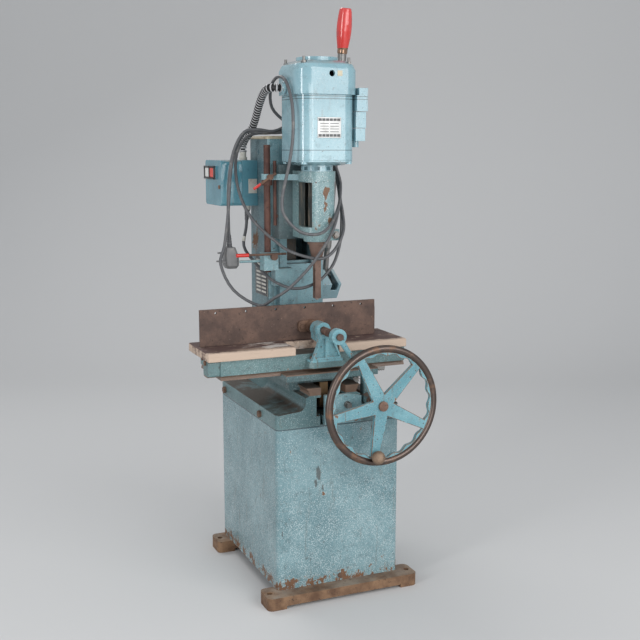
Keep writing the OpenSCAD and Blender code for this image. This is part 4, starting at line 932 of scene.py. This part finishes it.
CROSS_X, CROSS_Z = 16, 493
cross_core = lathe("cross_screw_core", [(0, 6), (22.9, 6), (23, 7), (262, 7)],
                   (CROSS_X, -206, CROSS_Z), (0, 1, 0))
cross_collar = lathe("cross_screw_collar", [(0, 8), (0.6, 8.6), (7.4, 8.6), (8, 8)],
                     (CROSS_X, -211.6, CROSS_Z), (0, 1, 0))
cross_thread = wound_thread("cross_thread", (CROSS_X, -181, CROSS_Z), 234, 6.9, 1.4, SHAFT_STEEL)
for piece in (cross_core, cross_collar, cross_thread):
    finish_new(piece, "cross_screw", SHAFT_STEEL)
print("threads:", len(clamp_thread.data.polygons), len(cross_thread.data.polygons), "faces")

# %% [markdown]
# The boards are planks that years of work have worn. Each is drawn as slices along X.
# The front top corner of a slice is rounded by an amount that wanders, and here and
# there a chip is missing. The right board is cut back where the clamp bracket stands.

# %% Work boards
BOARD_LOW, BOARD_HIGH, BOARD_BACK = 620, 640.6, -12.2
BOARD_FRONT, CUT_FRONT, CUT_END = -175, -104, 8
LEAST_WORN, WORN_MORE, CHIP_FROM, CHIP_DEEP, HOLLOW = 2.2, 2.6, 0.28, 16, 0.45
END_ROUND, SLICE, ARRIS = 1.3, 3.5, 1.2
BEFORE_ALL = -400


def plank_slice(x, front, inset):
    """The outline of one slice as (y, z) pairs in mm, from the low front corner over the top."""
    wander = noise.noise(Vector((x * 0.045, front * 0.1, 3.7)))
    chip = max(0.0, noise.noise(Vector((x * 0.16, 9.1, front * 0.1))) - CHIP_FROM) * CHIP_DEEP
    worn = LEAST_WORN + WORN_MORE * abs(wander) + chip
    y0, y1 = front + inset, BOARD_BACK - inset
    z0, z1 = BOARD_LOW + inset, BOARD_HIGH - inset
    outline = [(y0 + ARRIS, z0), (y0, z0 + ARRIS)]
    for k in range(6):
        turn = math.radians(90 * k / 5)
        outline.append((y0 + worn * (1 - math.cos(turn)), z1 - worn * 0.8 * (1 - math.sin(turn))))
    for k in range(1, 12):
        y = y0 + worn + (y1 - 1.5 - y0 - worn) * k / 11
        hollow = HOLLOW * (1 + noise.noise(Vector((x * 0.02, y * 0.06, 1.3))))
        outline.append((y, z1 - hollow * min(1.0, 11 - k)))
    return outline + [(y1, z1 - 1.5), (y1, z0 + ARRIS), (y1 - ARRIS, z0)]


def plank(name, start, end, front_at):
    """A board from start to end along X; front_at says from which X on its front is where."""
    steps = int((end - start) / SLICE)
    inner = end - start - 2 * END_ROUND
    places = [(start, END_ROUND), (end - END_ROUND, 0.0), (end, END_ROUND)]
    places += [(start + END_ROUND + inner * k / steps, 0.0) for k in range(steps)]
    for cut, _ in front_at[1:]:
        places += [(cut - 0.02, 0.0), (cut + 0.02, 0.0)]
    points = []
    for x, inset in sorted(places):
        front = [y for edge, y in front_at if x > edge][-1]
        outline = plank_slice(x, front, inset)
        points += [Vector((x, y, z)) * MM for y, z in outline]
    count = len(outline)
    piece = add_mesh(name, points, ring_faces(len(places), count))
    wear = piece.data.attributes.new("edge", "FLOAT", "FACE")
    ends = (len(places) - 1) * count
    for k, row in enumerate(wear.data):
        row.value = float(k >= ends or 1 <= k % count <= 7)
    return face_out(piece)


left_board = plank("board_left", -329, -107.2, [(BEFORE_ALL, BOARD_FRONT)])
right_board = plank("board_right", -106.8, 195,
                    [(BEFORE_ALL, CUT_FRONT), (CUT_END, BOARD_FRONT)])
finish_new(left_board, "table", WOOD, ["boards"])
finish_new(right_board, "table", WOOD)
print("boards:", len(left_board.data.polygons) + len(right_board.data.polygons), "faces")

# %% [markdown]
# The plates are left bare: a pale plate with plain lines and four rivets on the motor,
# a dark plate with rows of plain bars on the column, and a small beige patch on the
# cowl. A Geometry Nodes grid repeats the bars. A black frame goes round the buttons.

# %% Plates and bezel
BAR_SIZES = {"Rows": 9, "Columns": 2, "Row step": 0.0095, "Column step": 0.036,
             "Long": 0.03, "High": 0.0045, "Thick": 0.0006}
FRONT = Matrix.Rotation(math.radians(90), 4, "X")
LEFT_SIDE = Matrix.Rotation(math.radians(-90), 4, "Z") @ FRONT
ON_MOTOR = Matrix.Translation(Vector((0, -130.6, 1166)) * MM) @ FRONT
ON_COLUMN = Matrix.Translation(Vector((-81.8, 138, 778.5)) * MM) @ LEFT_SIDE
BEZEL_FACE, BEZEL_BACK = -188.4, -183.9
BEZEL_BARS = [(205.5, 1034.5, 296.5, 1039), (205.5, 1065, 296.5, 1069.5),
              (205.5, 1034.5, 212, 1069.5), (248, 1034.5, 254, 1069.5),
              (290, 1034.5, 296.5, 1069.5)]
RIVET = [(0, 1.7), (0.5, 1.6), (0.9, 1.0), (1.05, 0.2)]


def rounded_boxes(name, boxes, width, body, material):
    """Boxes with rounded edges in one mesh; each box is its low and its high corner in mm."""
    form = bmesh.new()
    for low, high in boxes:
        size = [(b - a) * MM for a, b in zip(low, high)]
        middle = (Vector(low) + Vector(high)) / 2
        place = Matrix.Translation(middle * MM) @ Matrix.Diagonal(size + [1])
        bmesh.ops.create_cube(form, size=1, matrix=place)
    round_edges(form, form.edges[:], width)
    mesh = bpy.data.meshes.new(name)
    form.to_mesh(mesh)
    form.free()
    shade(mesh)
    finish_new(put(name, mesh), body, material)


def bars_tree(material):
    board, given = new_growth("plate_bars", BAR_SIZES)
    rows = board.add("GeometryNodeMeshGrid", {
        "Size X": given["Column step"] * (given["Columns"] - 1),
        "Size Y": given["Row step"] * (given["Rows"] - 1),
        "Vertices X": given["Columns"], "Vertices Y": given["Rows"]})[0]
    size = board.add("ShaderNodeCombineXYZ", {
        0: given["Long"], 1: given["High"], 2: given["Thick"]})[0]
    bar = board.add("GeometryNodeMeshCube", {"Size": size})[0]
    bars = board.add("GeometryNodeInstanceOnPoints", {0: rows, "Instance": bar})[0]
    end_growth(board, coated(board, bars, material))
    return board


def grown_bars(name, place, body, material, slot, *values):
    """A grid of bars; the values are in the order of BAR_SIZES."""
    piece = grown(name, bars_tree(material), dict(zip(BAR_SIZES, values)))
    piece.data.transform(place)
    return finish_new(piece, body, material)


def rivets(name, places, direction, body):
    for k, place in enumerate(places):
        rivet = lathe("%s_%d" % (name, k + 1), RIVET, place, direction, 16)
        finish_new(rivet, body, RACK_STEEL)


rounded_boxes("motor_plate", [((-31, -130.5, 1141.5), (31, -129.9, 1190.5))], 0.25, "head",
              PLATE_WHITE)
motor_bars = grown_bars("motor_plate_lines", ON_MOTOR, "head", PLATE_DARK, "dark_paint",
                        4, 2, 0.0066, 0.0265, 0.0225, 0.0015, 0.0004)
grown_bars("motor_plate_bands", ON_MOTOR, "head", PLATE_DARK, "dark_paint",
           2, 6, 0.0375, 0.0098, 0.0084, 0.0062, 0.0004)
rounded_boxes("column_plate", [((-81.7, 92.5, 727.5), (-80.9, 183.5, 829.5))], 0.3,
              "stand", PLATE_DARK)
column_bars = grown_bars("column_plate_bars", ON_COLUMN, "stand", PALE_TRIM, "pale_trim",
                         9, 2, 0.0102, 0.04, 0.033, 0.005, 0.0004)
rounded_boxes("cowl_patch", [((19, -135.4, 1288), (32, -134.9, 1301))], 0.2,
              "head", PLATE_BEIGE)
bezel = [((BEZEL_FACE, y0, z0), (BEZEL_BACK, y1, z1)) for y0, z0, y1, z1 in BEZEL_BARS]
rounded_boxes("switch_bezel", bezel, 0.3, "stand", BEZEL_BLACK)
rivets("motor_rivet", [(x, -130.4, z) for z in (1144.5, 1187.5) for x in (-28, 28)],
       (0, -1, 0), "head")
rivets("column_rivet", [(-81.6, y, z) for z in (732, 825) for y in (97, 179)],
       (-1, 0, 0), "stand")
print("bars:", len(motor_bars.data.polygons) + len(column_bars.data.polygons), "faces")

# %% [markdown]
# Everything that has no piece of its own yet keeps its measured shape and only gets
# its finish.

# %% Plain parts
PLAIN = (
    (BRONZE, "shaft_bush cross_nut"), (RACK_STEEL, "saddle_gibs idler table_rack auger_bit"),
    (PAINT_WHEEL, "clamp_crank"), (RIM_STEEL, "wheel_rim"), (SHAFT_IRON, "wheel_shaft"),
    (KNOB_IRON, "wheel_knob"), (SHAFT_STEEL, "feed_shaft spindle cross_screw"),
    (LEVER_STEEL, "feed_lever"), (GRIP_RED, "lever_grip"), (LATCH_IRON, "stop_latch"),
    (GREASY_STEEL, "slide_gib feed_rack"), (WINDING, "stator"), (ROD_IRON, "stop_rods"),
    (COLLAR_IRON, "collar_lever"))
for material, nodes in PLAIN:
    for node in nodes.split():
        coat(frame["nodes"][node], material)
print("finishes of plain parts:", len(PLAIN))

# %% [markdown]
# A plain pale floor that curves up behind the machine, one broad lamp above on the
# right, a weaker one low in front, a tall strip on the left that draws the bright line
# down the rounded corners, one behind, and a pale sky for soft shadows.

# %% Studio
NEAR_END, BEND_START, BEND, TOP, HALF_WIDTH = -6, 2.2, 1.6, 6, 7
FLOOR_GREY, SKY, SKY_STRENGTH = (0.56, 0.56, 0.555, 1), (0.92, 0.95, 1.0, 1), 0.63
LAMPS = {"key": ((1.2, -3.0, 1.9), 0.95, 2.2, 50), "front": ((-0.2, -3.4, 0.9), 0.85, 1.6, 27),
         "strip": ((-2.6, -1.25, 1.2), 0.85, 0.45, 27), "back": ((-0.6, 2.0, 3.0), 0.9, 1.5, 30)}
STRIP_TALL = 2.2


def backdrop():
    """A floor with a round bend and a wall, seen square on by the camera."""
    turns = [math.radians(9 * k) for k in range(11)]
    bend = [(BEND_START + BEND * math.sin(a), BEND * (1 - math.cos(a))) for a in turns]
    profile = [(NEAR_END, 0), *bend, (BEND_START + BEND, TOP)]
    turn = Matrix.Rotation(-CAMERA_TURN, 3, "Z")
    points = [turn @ Vector((x, y, z)) for x in (-HALF_WIDTH, HALF_WIDTH) for y, z in profile]
    count = len(profile)
    return add_mesh("backdrop", points,
                    [(i, count + i, count + i + 1, i + 1) for i in range(count - 1)])


def lamp(name, place, target_height, size, watts):
    light = put(name, bpy.data.lights.new(name, "AREA"))
    light.data.energy = watts
    light.data.size = size
    light.location = place
    aim(light, Vector((0, 0, target_height)) - Vector(place))
    return light


floor = backdrop()
floor_finish = Finish("floor_grey")
floor_finish.hold("Roughness", 0.8)
floor_finish.hold("Base Color", FLOOR_GREY)
coat(floor, floor_finish.material)

lamps = {name: lamp(name, *values) for name, values in LAMPS.items()}
lamps["strip"].data.shape = "RECTANGLE"
lamps["strip"].data.size_y = STRIP_TALL

world = bpy.data.worlds.new("studio")
world.use_nodes = True
sky = world.node_tree.nodes["Background"]
sky.inputs["Color"].default_value = SKY
sky.inputs["Strength"].default_value = SKY_STRENGTH
bpy.context.scene.world = world
bpy.context.scene.view_settings.view_transform = "Standard"
print("lamps:", len(lamps))
